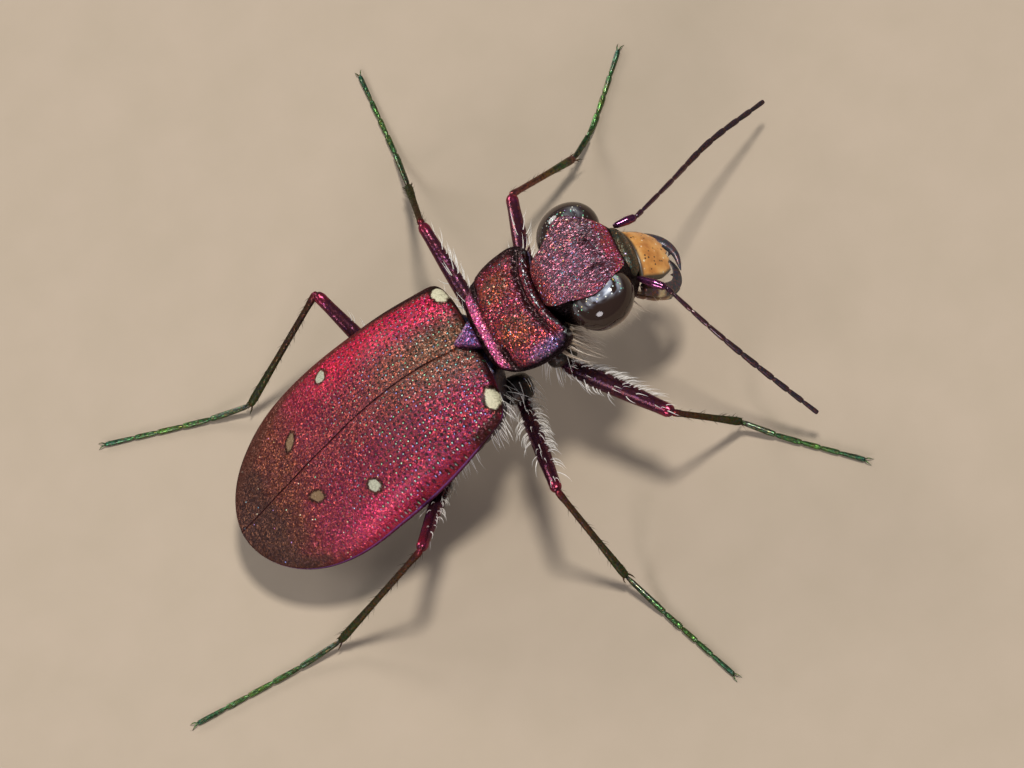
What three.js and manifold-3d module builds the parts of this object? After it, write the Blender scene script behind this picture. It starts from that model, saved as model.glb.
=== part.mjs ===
// A tiger beetle at life size, standing still with its legs spread and its feelers lowered.
// Millimetres, +Z up. The beetle faces -Y, its left side is +X and its claws rest on the floor, z = 0.
// The body is drawn in its own coordinates: forward and back from the tip of the scutellum,
// out to the side from the middle line, and up from the back. It is then pitched head up as one group.
import * as THREE from 'three';
import { mergeVertices } from 'three/addons/utils/BufferGeometryUtils.js';
import Module from 'manifold-3d';

const wasm = await Module();
wasm.setup();

// Stance
const standHeight = 4.62;
const pitchUp = THREE.MathUtils.degToRad(11.8);

// The thin cut that parts one piece from the next
const cut = 0.1;

// Wing cases
const elytra = {
  front: 0.48,
  rear: -7.95,
  widestAt: -4.2,
  halfWidth: 2.7,
  shoulderHalfWidth: 2.24,
  thickness: 0.5,
  roundness: 2.4,
};

// Height of the back and of the wing case's side edge at places along the body
const backLine = [
  [0.6, -0.08], [0, 0.03], [-1.4, 0.25], [-2.5, 0.14], [-3.6, -0.1], [-4.7, -0.41], [-5.9, -0.75],
  [-7.1, -1.13], [-7.95, -1.43],
];
const edgeLine = [
  [0.6, -0.66], [0, -0.76], [-1, -0.98], [-2, -1.2], [-4.2, -1.45], [-6.5, -1.62], [-7.95, -1.5],
];
// Underside of the breast and belly
const bellyLine = [
  [0.6, -1.9], [0.2, -2.45], [-1.2, -2.85], [-2.6, -2.9], [-4.4, -2.75], [-6.2, -2.3], [-7.4, -1.75],
];
const breastFront = 0.56;
const waistHalfWidth = 0.95;
const bellyFront = -2.6;
const bellyRear = -7.35;

const scutellumSize = { length: 0.66, baseWidth: 0.96, thickness: 0.5 };

// Neck shield: half its width at places along it, and the heights of its middle, rim and underside
const shield = { rear: 0.66, front: 2.74, top: 0.02, rim: -0.46, under: -2.3 };
const shieldWidths = [[0.66, 1.2], [1.0, 1.45], [1.4, 1.6], [2.0, 1.74], [2.5, 1.76], [2.74, 1.62]];

// Head, without the eyes
const headPlace = { rear: 2.78, front: 5.06, middle: -0.9 };
const headWidths = [[2.78, 1.05], [3.2, 1.2], [4.0, 1.36], [4.6, 1.16], [5.06, 0.9]];
const headTops = [[2.78, -0.1], [3.2, -0.06], [4.2, -0.08], [4.75, -0.28], [5.06, -0.6]];
const headUnders = [[2.78, -2.0], [3.6, -2.3], [4.4, -2.35], [5.06, -2.0]];
const eyeSize = { at: 4.04, out: 1.17, up: -0.62, halfLength: 0.86, halfWidth: 0.75, halfHeight: 0.72 };
const clypeusSize = { at: 4.96, up: -1.12, halfWidth: 0.78, halfLength: 0.3, halfHeight: 0.34 };
const labrumSize = {
  rear: 5.16,
  rearUp: -1.42,
  front: 5.68,
  frontUp: -2.7,
  halfWidth: 0.8,
  thickness: 0.45,
};

// Legs: thickness of the solids, and where each joint stands on the floor plan and above it
const femurRadius = 0.3;
const tibiaRadius = 0.25;
const footRadius = 0.25;
const toeRadius = 0.13;
const spurLength = 0.5;
const clawLength = 0.32;

const coxa = {
  front: { forward: 1.9, out: 1.15, up: -2.24, inner: 0.45 },
  middle: { forward: 0.32, out: 1.18, up: -2.48, inner: 0.5 },
  hind: { forward: -2.36, out: 1.27, up: -2.76, inner: 0.55 },
};
const footJoints = {
  front: [0.27, 0.48, 0.63, 0.79, 1],
  middle: [0.34, 0.5, 0.64, 0.79, 1],
  hind: [0.29, 0.48, 0.65, 0.8, 1],
};
const legs = {
  left_front: { pair: 'front', knee: [4.45, -3.05, 2.4], ankle: [5.5, -4.85, 0.67], toe: [8.1, -7.2] },
  right_front: { pair: 'front', knee: [-4.0, -4.25, 2.85], ankle: [-3.9, -5.55, 0.46], toe: [-6.5, -7.95] },
  left_middle: { pair: 'middle', knee: [4.85, -0.6, 2.75], ankle: [7.35, -0.55, 0.56], toe: [11.4, -0.7] },
  right_middle: { pair: 'middle', knee: [-4.65, -0.65, 3.4], ankle: [-6.3, -1.0, 0.51], toe: [-10.15, -2.3] },
  left_hind: { pair: 'hind', knee: [4.25, 2.7, 3.3], ankle: [3.95, 5.9, 0.4], toe: [5.3, 9.9] },
  right_hind: { pair: 'hind', knee: [-4.15, 3.25, 3.35], ankle: [-3.65, 6.55, 0.34], toe: [-3.55, 10.95] },
};

// Feelers, from the socket on the head to the tip, which hangs just clear of the floor
const feelerRadius = { scape: 0.25, root: 0.22, tip: 0.1 };
const feelers = {
  left: [
    [0.86, -5.22, 4.46], [0.9, -5.85, 4.25], [1.7, -7.0, 3.55], [2.8, -8.35, 2.5], [3.95, -10.05, 1.0],
  ],
  right: [
    [-0.85, -5.15, 4.46], [-1.4, -5.7, 4.23], [-2.8, -6.25, 3.32], [-4.0, -6.85, 2.22], [-5.1, -7.48, 1.0],
  ],
};

// Jaws and mouth feelers, as [forward, out, up]; the two jaws cross, one passing under the other
const jaws = {
  left: [
    [4.78, 0.8, -2.0], [5.34, 1.12, -2.3], [5.84, 0.8, -2.78], [5.96, 0.1, -3.08], [5.78, -0.42, -3.16],
  ],
  right: [
    [4.78, 0.8, -2.05], [5.26, 1.08, -2.6], [5.56, 0.7, -3.2], [5.56, 0.05, -3.55], [5.42, -0.38, -3.66],
  ],
};
const jawRadius = 0.27;
const longPalp = [[4.45, 0.85, -2.3], [4.95, 1.3, -2.62], [5.35, 1.36, -2.5], [5.66, 1.14, -2.26]];
const shortPalp = [[4.3, 0.34, -2.35], [4.5, 0.5, -2.9], [4.78, 0.72, -3.2], [5.02, 0.78, -3.36]];
const palpRadius = 0.22;

function paint(color, roughness, metalness) {
  return new THREE.MeshStandardMaterial({ color, roughness, metalness });
}

const crimson = paint('#8c1230', 0.35, 0.6);
const violet = paint('#4a2a63', 0.35, 0.6);
const plum = paint('#3a1028', 0.4, 0.5);
const bronze = paint('#3a2a24', 0.4, 0.5);
const green = paint('#0f6b3a', 0.3, 0.7);
const slate = paint('#2c3440', 0.5, 0.3);
const dark = paint('#17130f', 0.3, 0.3);
const eyeBrown = paint('#1c120c', 0.15, 0);
const ochre = paint('#c98a3a', 0.5, 0);
const pale = paint('#cdb792', 0.5, 0);

// Value of a line of [place, height] points at any place, eased through the points
function along(line, place) {
  const rising = [...line].sort((a, b) => a[0] - b[0]);
  const places = rising.map((point) => point[0]);
  const heights = rising.map((point) => point[1]);
  const clamped = THREE.MathUtils.clamp(place, places[0], places.at(-1));
  return new THREE.CubicInterpolant(places, heights, 1).evaluate(clamped)[0];
}

// A point of the body: forward of the scutellum's tip, out from the middle line, up from the back
function bodyPoint(forward, out, up) {
  return new THREE.Vector3(out, -forward, up);
}

// The same point on the standing beetle
function standingPoint(forward, out, up) {
  return bodyPoint(forward, out, up)
    .applyAxisAngle(new THREE.Vector3(1, 0, 0), -pitchUp)
    .add(new THREE.Vector3(0, 0, standHeight));
}

// One closed surface: a sphere's grid, each of whose points is moved to place(turn, share of the way)
function closedSurface(around, steps, place) {
  const geometry = new THREE.SphereGeometry(1, around, steps);
  const grid = geometry.attributes.uv;
  const position = geometry.attributes.position;
  for (let i = 0; i < position.count; i += 1) {
    const point = place(grid.getX(i), 1 - grid.getY(i));
    position.setXYZ(i, point.x, point.y, point.z);
  }
  geometry.deleteAttribute('normal');
  geometry.deleteAttribute('uv');
  return mergeVertices(geometry, 1e-5);
}

// A body section is rounder or squarer as its roundness says: 2 is an ellipse
function bulge(value, roundness) {
  return Math.sign(value) * Math.abs(value) ** (2 / roundness);
}

// A body piece: sections across the middle line, widest at the height rim, from the front to the rear
function bodyShape(form, grow = 0) {
  const front = form.front + grow;
  const rear = form.rear - grow;
  return closedSurface(form.around ?? 32, form.steps ?? 24, (turn, share) => {
    const sweep = Math.PI * share;
    const forward = THREE.MathUtils.lerp(front, rear, (1 - Math.cos(sweep)) / 2);
    const place = THREE.MathUtils.clamp(forward, form.rear, form.front);
    const ending = share > 0 && share < 1 ? Math.sin(sweep) ** (form.ending ?? 0.6) : 0;
    const angle = 2 * Math.PI * turn;
    const across = bulge(Math.cos(angle), form.roundness ?? 2.2);
    const upward = bulge(Math.sin(angle), form.roundness ?? 2.2);
    const rim = form.rim(place);
    const reach = upward > 0 ? form.top(place) + grow - rim : rim - form.under(place) + grow;
    const flank = (form.halfWidth(place) + grow) * (form.widthEnding ?? true ? ending : Math.sign(ending));
    return bodyPoint(forward, flank * across, rim + reach * ending * upward);
  });
}

// A limb: round sections along a smooth line, each [share of the length, radius]
function limbShape(points, sections, grow = 0, sides = 10) {
  const line = points.length > 2 ? new THREE.CatmullRomCurve3(points) : new THREE.LineCurve3(...points);
  const rows = sections.length + 1;
  const turns = line.computeFrenetFrames(64, false);
  return closedSurface(sides, rows, (turn, share) => {
    const row = Math.round(share * rows);
    const section = sections[THREE.MathUtils.clamp(row - 1, 0, sections.length - 1)];
    const centre = line.getPointAt(section[0]);
    const frame = Math.round(section[0] * 64);
    const beyond = section[0] === 0 ? -grow : section[0] === 1 ? grow : 0;
    centre.addScaledVector(turns.tangents[frame], beyond);
    if (row === 0 || row === rows) {
      return centre;
    }
    const angle = -2 * Math.PI * turn;
    const radius = section[1] + grow;
    return centre
      .addScaledVector(turns.normals[frame], radius * Math.cos(angle))
      .addScaledVector(turns.binormals[frame], radius * Math.sin(angle));
  });
}

function solid(geometry) {
  return new wasm.Manifold(new wasm.Mesh({
    numProp: 3,
    vertProperties: Float32Array.from(geometry.attributes.position.array),
    triVerts: Uint32Array.from(geometry.index.array),
  }));
}

// The largest closed piece of a solid
function largest(shape) {
  const pieces = shape.decompose();
  return pieces.reduce((best, piece) => (piece.volume() > best.volume() ? piece : best));
}

function geometryOf(shape) {
  const mesh = largest(shape).getMesh();
  const geometry = new THREE.BufferGeometry();
  geometry.setAttribute('position', new THREE.BufferAttribute(mesh.vertProperties, 3));
  geometry.setIndex(new THREE.BufferAttribute(mesh.triVerts, 1));
  return geometry;
}

// A box for cutting, from its lowest to its highest corner
function block(low, high) {
  const size = new THREE.Vector3().subVectors(high, low);
  const geometry = new THREE.BoxGeometry(size.x, size.y, size.z);
  geometry.translate((low.x + high.x) / 2, (low.y + high.y) / 2, (low.z + high.z) / 2);
  geometry.deleteAttribute('normal');
  geometry.deleteAttribute('uv');
  return solid(mergeVertices(geometry));
}

// A spine or claw: a cone from its root to its tip
function spine(root, tip, radius) {
  return solid(limbShape([root, tip], [[0, radius], [0.55, radius * 0.7], [1, radius * 0.15]], 0, 6));
}

const beetle = new THREE.Group();
const bodyGroup = new THREE.Group();
bodyGroup.rotation.x = -pitchUp;
bodyGroup.position.z = standHeight;
beetle.add(bodyGroup);

function addNode(name, shape, material, group = beetle) {
  const mesh = new THREE.Mesh(geometryOf(shape), material);
  mesh.name = name;
  group.add(mesh);
}

// Outline of the two wing cases together: widest behind the middle, rounded shoulders and tip
function elytraHalfWidth(forward) {
  const spread = elytra.halfWidth;
  if (forward < elytra.widestAt) {
    const share = (elytra.widestAt - forward) / (elytra.widestAt - elytra.rear);
    return spread * Math.max(1 - share ** 2.3, 0) ** 0.53;
  }
  const share = (forward - elytra.widestAt) / -elytra.widestAt;
  const shoulder = Math.max((forward + 0.45) / (elytra.front + 0.45), 0);
  const outline = spread - (spread - elytra.shoulderHalfWidth) * share ** 2.2;
  return outline * Math.max(1 - shoulder ** 4, 0) ** 0.4;
}

const wingCaseDome = {
  front: elytra.front,
  rear: elytra.rear,
  halfWidth: elytraHalfWidth,
  top: (place) => along(backLine, place),
  rim: (place) => along(edgeLine, place),
  under: (place) => along(edgeLine, place) - 0.22,
  roundness: elytra.roundness,
  around: 36,
  steps: 26,
  ending: 0.35,
  widthEnding: false,
};

// Breast and belly fill the wing cases from below and show between them and the floor
function trunkHalfWidth(forward) {
  const underCase = elytraHalfWidth(Math.min(forward, -0.7)) - elytra.thickness - cut;
  const towardsWaist = THREE.MathUtils.smoothstep(forward, -0.9, breastFront);
  return THREE.MathUtils.lerp(Math.max(underCase, 0.3), waistHalfWidth, towardsWaist);
}

const trunk = {
  front: breastFront,
  rear: bellyRear,
  halfWidth: trunkHalfWidth,
  top: (place) => along(backLine, place) - elytra.thickness - cut,
  rim: (place) => along(edgeLine, place) - 0.3,
  under: (place) => along(bellyLine, place),
  roundness: 2.3,
  around: 28,
  steps: 20,
  ending: 0.45,
};

const scutellumOutline = new THREE.Shape([
  new THREE.Vector2(0, 0),
  new THREE.Vector2(-scutellumSize.baseWidth / 2, -scutellumSize.length),
  new THREE.Vector2(scutellumSize.baseWidth / 2, -scutellumSize.length),
]);

function scutellumShape(grow = 0) {
  const depth = scutellumSize.thickness + grow;
  const geometry = new THREE.ExtrudeGeometry(scutellumOutline, {
    depth,
    bevelEnabled: true,
    bevelThickness: 0.03,
    bevelSize: 0.03 + grow,
    bevelSegments: 1,
  });
  geometry.translate(0, 0, -depth);
  geometry.deleteAttribute('normal');
  geometry.deleteAttribute('uv');
  return solid(mergeVertices(geometry, 1e-5));
}

const everywhere = 20;
const behindWaist = block(
  new THREE.Vector3(-everywhere, -bellyFront, -everywhere),
  new THREE.Vector3(everywhere, everywhere, everywhere),
);
const trunkSolid = solid(bodyShape(trunk)).subtract(scutellumShape(cut));
const trunkClearance = solid(bodyShape(trunk, cut));
const bellySolid = trunkSolid.intersect(behindWaist);
const breastSolid = trunkSolid.subtract(behindWaist.translate([0, -cut, 0]));
addNode('abdomen', bellySolid, dark, bodyGroup);
addNode('thorax', breastSolid, plum, bodyGroup);
addNode('scutellum', scutellumShape(), violet, bodyGroup);

const domeSolid = solid(bodyShape(wingCaseDome)).subtract(trunkClearance).subtract(scutellumShape(cut));
for (const side of [1, -1]) {
  const half = block(
    new THREE.Vector3(side > 0 ? cut / 2 : -everywhere, -everywhere, -everywhere),
    new THREE.Vector3(side > 0 ? everywhere : -cut / 2, everywhere, everywhere),
  );
  addNode(side > 0 ? 'elytron_left' : 'elytron_right', domeSolid.intersect(half), crimson, bodyGroup);
}

// Neck shield and the front breast under it, one ring
const prothorax = {
  front: shield.front,
  rear: shield.rear,
  halfWidth: (place) => along(shieldWidths, place),
  top: (place) => shield.top - 0.1 * ((place - 1.7) / 1.05) ** 2,
  rim: () => shield.rim,
  under: () => shield.under,
  roundness: 2.1,
  around: 28,
  steps: 14,
  ending: 0.18,
};
const prothoraxClearance = solid(bodyShape(prothorax, cut));
addNode('prothorax', solid(bodyShape(prothorax)).subtract(trunkClearance), crimson, bodyGroup);

const headForm = {
  front: headPlace.front,
  rear: headPlace.rear,
  halfWidth: (place) => along(headWidths, place),
  top: (place) => along(headTops, place),
  rim: () => headPlace.middle,
  under: (place) => along(headUnders, place),
  roundness: 2.5,
  around: 28,
  steps: 16,
  ending: 0.16,
};

function eyeShape(side, grow = 0) {
  const geometry = new THREE.SphereGeometry(1, 20, 12);
  geometry.scale(eyeSize.halfWidth + grow, eyeSize.halfLength + grow, eyeSize.halfHeight + grow);
  geometry.translate(side * eyeSize.out, -eyeSize.at, eyeSize.up);
  geometry.deleteAttribute('normal');
  geometry.deleteAttribute('uv');
  return solid(mergeVertices(geometry, 1e-5));
}

const headSolid = solid(bodyShape(headForm)).subtract(prothoraxClearance);
const headClearance = solid(bodyShape(headForm, cut));
addNode('head', headSolid, crimson, bodyGroup);
for (const side of [1, -1]) {
  addNode(side > 0 ? 'eye_left' : 'eye_right', eyeShape(side).subtract(headClearance), eyeBrown, bodyGroup);
}

// Face plate and upper lip
const clypeusForm = {
  front: clypeusSize.at + clypeusSize.halfLength,
  rear: clypeusSize.at - clypeusSize.halfLength,
  halfWidth: () => clypeusSize.halfWidth,
  top: () => clypeusSize.up + clypeusSize.halfHeight,
  rim: () => clypeusSize.up,
  under: () => clypeusSize.up - clypeusSize.halfHeight,
  roundness: 2.6,
  around: 14,
  steps: 8,
};
const clypeusClearance = solid(bodyShape(clypeusForm, cut));
addNode('clypeus', solid(bodyShape(clypeusForm)).subtract(headClearance), dark, bodyGroup);

function labrumShape(grow = 0) {
  const slope = new THREE.Vector2(labrumSize.front - labrumSize.rear, labrumSize.frontUp - labrumSize.rearUp);
  const outline = new THREE.Shape();
  const half = labrumSize.halfWidth + grow;
  const reach = slope.length() + grow;
  outline.moveTo(-half, -grow);
  outline.lineTo(half, -grow);
  outline.lineTo(half * 0.97, reach * 0.62);
  outline.quadraticCurveTo(half * 0.9, reach * 0.9, half * 0.4, reach * 0.94);
  outline.lineTo(0, reach);
  outline.lineTo(-half * 0.4, reach * 0.94);
  outline.quadraticCurveTo(-half * 0.9, reach * 0.9, -half * 0.97, reach * 0.62);
  const depth = labrumSize.thickness + 2 * grow;
  const geometry = new THREE.ExtrudeGeometry(outline, { depth, bevelEnabled: false, curveSegments: 4 });
  geometry.translate(0, 0, -grow);
  geometry.rotateX(Math.PI + Math.atan2(-slope.y, slope.x));
  geometry.translate(0, -labrumSize.rear, labrumSize.rearUp);
  geometry.deleteAttribute('normal');
  geometry.deleteAttribute('uv');
  return solid(mergeVertices(geometry, 1e-5));
}
addNode('labrum', labrumShape().subtract(clypeusClearance).subtract(headClearance), ochre, bodyGroup);
const labrumClearance = labrumShape(cut);

// Jaws, with two teeth on the inner edge, and mouth feelers
for (const side of [1, -1]) {
  const label = side > 0 ? 'left' : 'right';
  const sideOf = ([forward, out, up]) => bodyPoint(forward, side * out, up);
  const jawPoints = jaws[label].map(sideOf);
  const jawSections = [[0, 0.9], [0.25, 1], [0.5, 0.72], [0.72, 0.5], [0.9, 0.32], [1, 0.12]]
    .map(([place, share]) => [place, share * jawRadius]);
  const jawLine = new THREE.CatmullRomCurve3(jawPoints);
  let jaw = solid(limbShape(jawPoints, jawSections));
  for (const place of [0.45, 0.66]) {
    const root = jawLine.getPointAt(place);
    const tip = root.clone().add(new THREE.Vector3(-side * 0.16, 0.24, 0.02));
    jaw = jaw.add(spine(root, tip, 0.09));
  }
  jaw = jaw.subtract(headClearance).subtract(labrumClearance).subtract(clypeusClearance);
  addNode(`mandible_${label}`, jaw, dark, bodyGroup);

  const longPoints = longPalp.map(sideOf);
  const longSections = [[0, 0.8], [0.3, 0.8], [0.62, 0.75], [0.85, 1], [0.97, 0.8], [1, 0.4]]
    .map(([place, share]) => [place, share * palpRadius]);
  const mouthRoom = headClearance.add(solid(limbShape(jawPoints, jawSections, cut)));
  const longSolid = solid(limbShape(longPoints, longSections, 0, 8)).subtract(mouthRoom);
  addNode(`maxillary_palp_${label}`, longSolid, pale, bodyGroup);

  const shortSections = [[0, 0.8], [0.4, 0.8], [0.75, 0.8], [0.9, 0.9], [1, 0.4]]
    .map(([place, share]) => [place, share * palpRadius]);
  const shortSolid = solid(limbShape(shortPalp.map(sideOf), shortSections, 0, 8)).subtract(mouthRoom);
  addNode(`labial_palp_${label}`, shortSolid, pale, bodyGroup);
}

// Feelers stand in the room, so the head is turned to its stance before they are cut by it
function standing(shape) {
  return shape.rotate([-THREE.MathUtils.radToDeg(pitchUp), 0, 0]).translate([0, 0, standHeight]);
}
const headRoom = standing(headClearance);
const breastRoom = standing(trunkClearance);
const prothoraxRoom = standing(prothoraxClearance);

for (const [label, places] of Object.entries(feelers)) {
  const points = places.map((place) => new THREE.Vector3(...place));
  const scapeLine = points.slice(0, 2);
  const scapeSections = [[0, 0.7], [0.2, 0.8], [0.75, 1], [1, 0.75]]
    .map(([place, share]) => [place, share * feelerRadius.scape]);
  addNode(`scape_${label}`, solid(limbShape(scapeLine, scapeSections)).subtract(headRoom), violet);

  const scapeRoom = solid(limbShape(scapeLine, scapeSections, cut));
  const joints = 10;
  const sections = [];
  for (let joint = 0; joint < joints; joint += 1) {
    const thick = THREE.MathUtils.lerp(feelerRadius.root, feelerRadius.tip, joint / joints);
    sections.push([joint / joints, thick * 0.86]);
    sections.push([(joint + 0.85) / joints, thick]);
  }
  sections.push([1, feelerRadius.tip * 0.6]);
  addNode(`flagellum_${label}`, solid(limbShape(points.slice(1), sections, 0, 7)).subtract(scapeRoom), slate);
}

// Legs: hip, thigh, shin with its two spurs, and a five-jointed foot with two claws
const femurProfile = [[0, 0.7], [0.1, 0.9], [0.3, 1], [0.75, 0.85], [0.94, 0.9], [1, 0.7]];
const tibiaProfile = [[0, 0.9], [0.08, 1], [0.5, 0.9], [0.92, 1], [1, 0.9]];
const scaled = (profile, radius) => profile.map(([place, share]) => [place, share * radius]);

function footPath(leg) {
  const ankle = new THREE.Vector3(...leg.ankle);
  const toe = new THREE.Vector3(...leg.toe, toeRadius);
  const points = [ankle];
  for (const share of [0.12, 0.3, 0.55, 0.8]) {
    const point = ankle.clone().lerp(toe, share);
    const restHeight = THREE.MathUtils.lerp(footRadius, toeRadius, share) * 0.85;
    point.z = restHeight + (leg.ankle[2] - restHeight) * Math.max(1 - share / 0.34, 0) ** 1.5;
    points.push(point);
  }
  points.push(toe);
  return points;
}

const floor = block(
  new THREE.Vector3(-everywhere, -everywhere, -everywhere),
  new THREE.Vector3(everywhere, everywhere, 0),
);

for (const [name, leg] of Object.entries(legs)) {
  const side = name.startsWith('left') ? 1 : -1;
  const hip = coxa[leg.pair];
  const knee = new THREE.Vector3(...leg.knee);
  const ankle = new THREE.Vector3(...leg.ankle);
  const hipJoint = standingPoint(hip.forward, side * hip.out, hip.up);
  const hipRoot = standingPoint(hip.forward + 0.15, side * hip.inner, hip.up + 0.35);
  const rootRoom = leg.pair === 'front' ? prothoraxRoom : breastRoom;

  const coxaLine = [hipRoot, hipJoint];
  const coxaSections = scaled([[0, 0.8], [0.3, 1.1], [0.7, 1], [1, 0.6]], 0.42);
  addNode(`${name}_coxa`, solid(limbShape(coxaLine, coxaSections)).subtract(rootRoom), plum);

  const femurLine = [hipJoint, knee];
  const femurSections = scaled(femurProfile, femurRadius);
  const coxaRoom = solid(limbShape(coxaLine, coxaSections, cut));
  const femurSolid = solid(limbShape(femurLine, femurSections)).subtract(coxaRoom).subtract(rootRoom);
  addNode(`${name}_femur`, femurSolid, plum);

  const tibiaLine = [knee, ankle];
  const tibiaSections = scaled(tibiaProfile, tibiaRadius);
  const shin = new THREE.Vector3().subVectors(ankle, knee).normalize();
  const sideways = new THREE.Vector3(0, 0, 1).cross(shin).normalize();
  let tibiaSolid = solid(limbShape(tibiaLine, tibiaSections, 0, 8));
  for (const turn of [1, -1]) {
    const root = ankle.clone().addScaledVector(shin, -0.16).addScaledVector(sideways, turn * 0.1);
    const tip = root.clone().addScaledVector(shin, spurLength * 0.8);
    tip.addScaledVector(sideways, turn * spurLength * 0.6);
    tip.z = Math.max(tip.z, 0.06);
    tibiaSolid = tibiaSolid.add(spine(root, tip, 0.1));
  }
  const femurRoom = solid(limbShape(femurLine, femurSections, cut));
  addNode(`${name}_tibia`, tibiaSolid.subtract(femurRoom), bronze);

  const path = footPath(leg);
  const footLine = new THREE.CatmullRomCurve3(path);
  const sections = [];
  let start = 0;
  for (const end of footJoints[leg.pair]) {
    const neck = THREE.MathUtils.lerp(footRadius, toeRadius, start) * 0.85;
    sections.push([start === 0 ? 0 : start + 0.02, neck]);
    sections.push([end, THREE.MathUtils.lerp(footRadius, toeRadius, end)]);
    start = end;
  }
  let footSolid = solid(limbShape(path, sections, 0, 7));
  const toe = path.at(-1);
  const ahead = footLine.getTangentAt(1).setZ(0).normalize();
  const aside = new THREE.Vector3(-ahead.y, ahead.x, 0);
  for (const turn of [1, -1]) {
    const root = toe.clone().addScaledVector(ahead, -0.06);
    const tip = toe.clone().addScaledVector(ahead, clawLength);
    tip.addScaledVector(aside, turn * clawLength * 0.6);
    tip.z = 0.06;
    footSolid = footSolid.add(spine(root, tip, 0.08));
  }
  const tibiaRoom = solid(limbShape(tibiaLine, tibiaSections, cut, 8));
  addNode(`${name}_tarsus`, footSolid.subtract(floor).subtract(tibiaRoom), green);
}

// The origin is on the floor, under the middle of the whole beetle
beetle.updateMatrixWorld(true);
const reach = new THREE.Box3().setFromObject(beetle, true);
beetle.position.set(-(reach.min.x + reach.max.x) / 2, -(reach.min.y + reach.max.y) / 2, -reach.min.z);

export default beetle;
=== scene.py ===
# %% [markdown]
# A tiger beetle at life size, about 14 mm long. On the real animal every plate is a hard, thin shell whose
# surface splits light, so it shines crimson, violet or emerald with no pigment of that colour. The shells
# could be sculpted by hand, but they follow simple rules, so each is a loft of named sections that takes
# the place of one plainer solid of the frame.

# %% The frame and its box
import math

import bpy
import numpy as np
from mathutils import Matrix, Vector


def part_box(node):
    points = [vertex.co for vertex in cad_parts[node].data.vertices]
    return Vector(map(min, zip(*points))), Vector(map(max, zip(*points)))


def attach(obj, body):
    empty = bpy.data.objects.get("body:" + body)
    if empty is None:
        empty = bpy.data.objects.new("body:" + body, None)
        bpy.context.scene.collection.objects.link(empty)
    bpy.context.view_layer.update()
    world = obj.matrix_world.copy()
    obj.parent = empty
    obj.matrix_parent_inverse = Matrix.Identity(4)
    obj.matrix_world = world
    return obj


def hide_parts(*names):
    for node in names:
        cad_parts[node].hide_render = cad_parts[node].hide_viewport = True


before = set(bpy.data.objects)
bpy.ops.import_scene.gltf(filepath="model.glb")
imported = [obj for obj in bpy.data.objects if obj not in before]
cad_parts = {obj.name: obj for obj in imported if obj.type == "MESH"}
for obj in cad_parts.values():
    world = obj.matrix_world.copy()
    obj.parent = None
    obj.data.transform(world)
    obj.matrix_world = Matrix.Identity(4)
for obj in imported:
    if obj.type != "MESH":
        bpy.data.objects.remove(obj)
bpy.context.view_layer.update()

# %% [markdown]
# The beetle stands with its head up. Its pose could be drawn directly, but in the body's own coordinates
# left and right stay alike and every number can be read. They are millimetres: forward from the tip of the
# scutellum, out to the left, and up from the back. One turn and one move then stand the body on its legs.

# %% Body coordinates
MM = 0.001
SIDES = {"left": 1, "right": -1}
PITCH_UP = math.radians(11.8)
STAND_HEIGHT = 4.62
EYE_AT = {"forward": 4.04, "up": -0.62}


def plan_shift():
    """Where the body's middle line and zero point lie on the floor plan, read from the two eyes."""
    left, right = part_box("eye_left"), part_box("eye_right")
    middle = (left[1].x + right[0].x) / 2 / MM
    eye_y = (left[0].y + left[1].y) / 2 / MM
    turned = -EYE_AT["forward"] * math.cos(PITCH_UP) + EYE_AT["up"] * math.sin(PITCH_UP)
    return np.array([middle, eye_y - turned, 0.0])


SHIFT = plan_shift()
print("plan shift in mm:", SHIFT.round(3))


def standing(points):
    """Points in millimetres above the floor plan, in the row frame in metres."""
    return (np.asarray(points, float) + SHIFT) * MM


def body(points):
    """Points as (forward, out, up) on the body, in the row frame in metres."""
    forward, out, up = np.moveaxis(np.asarray(points, float), -1, 0)
    y = -forward * math.cos(PITCH_UP) + up * math.sin(PITCH_UP)
    z = forward * math.sin(PITCH_UP) + up * math.cos(PITCH_UP) + STAND_HEIGHT
    return standing(np.stack([out, y, z], -1))


def to_body(points):
    """Row-frame points in millimetres as (forward, out, up) on the body."""
    x, y, z = (points - SHIFT - (0, 0, STAND_HEIGHT)).T
    forward = -y * math.cos(PITCH_UP) + z * math.sin(PITCH_UP)
    return forward, x, y * math.sin(PITCH_UP) + z * math.cos(PITCH_UP)


# %% [markdown]
# The outlines of a beetle are smooth, and a few points say where they go. A polygon would show its corners,
# so these helpers ease a curve through such points. The others make the soft steps, bumps and slight
# unevenness that the relief of each plate is made of.

# %% Curves and measures
def along(line, place_on):
    """Value of a line of (place, value) points anywhere between them, eased through the points."""
    x, v = np.array(sorted(line), float).T
    slope = np.gradient(v, x)
    place_on = np.clip(place_on, x[0], x[-1])
    i = np.clip(np.searchsorted(x, place_on) - 1, 0, len(x) - 2)
    step = x[i + 1] - x[i]
    t = (place_on - x[i]) / step
    return (
        (2 * t**3 - 3 * t**2 + 1) * v[i]
        + (t**3 - 2 * t**2 + t) * step * slope[i]
        + (3 * t**2 - 2 * t**3) * v[i + 1]
        + (t**3 - t**2) * step * slope[i + 1]
    )


def measure(rule, place_on):
    """A size at a place, from one number, a line of (place, value) points or a function."""
    if callable(rule):
        return rule(place_on)
    return along(rule, place_on) if isinstance(rule, tuple) else rule + 0 * place_on


# %% Steps, bumps and ripples
def smoothstep(low, high, value):
    t = np.clip((value - low) / (high - low), 0, 1)
    return t * t * (3 - 2 * t)


def hump(value, at, width):
    """A smooth bump of height 1 at a place, gone two or three widths away."""
    return np.exp(-(((value - at) / width) ** 2))


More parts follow.
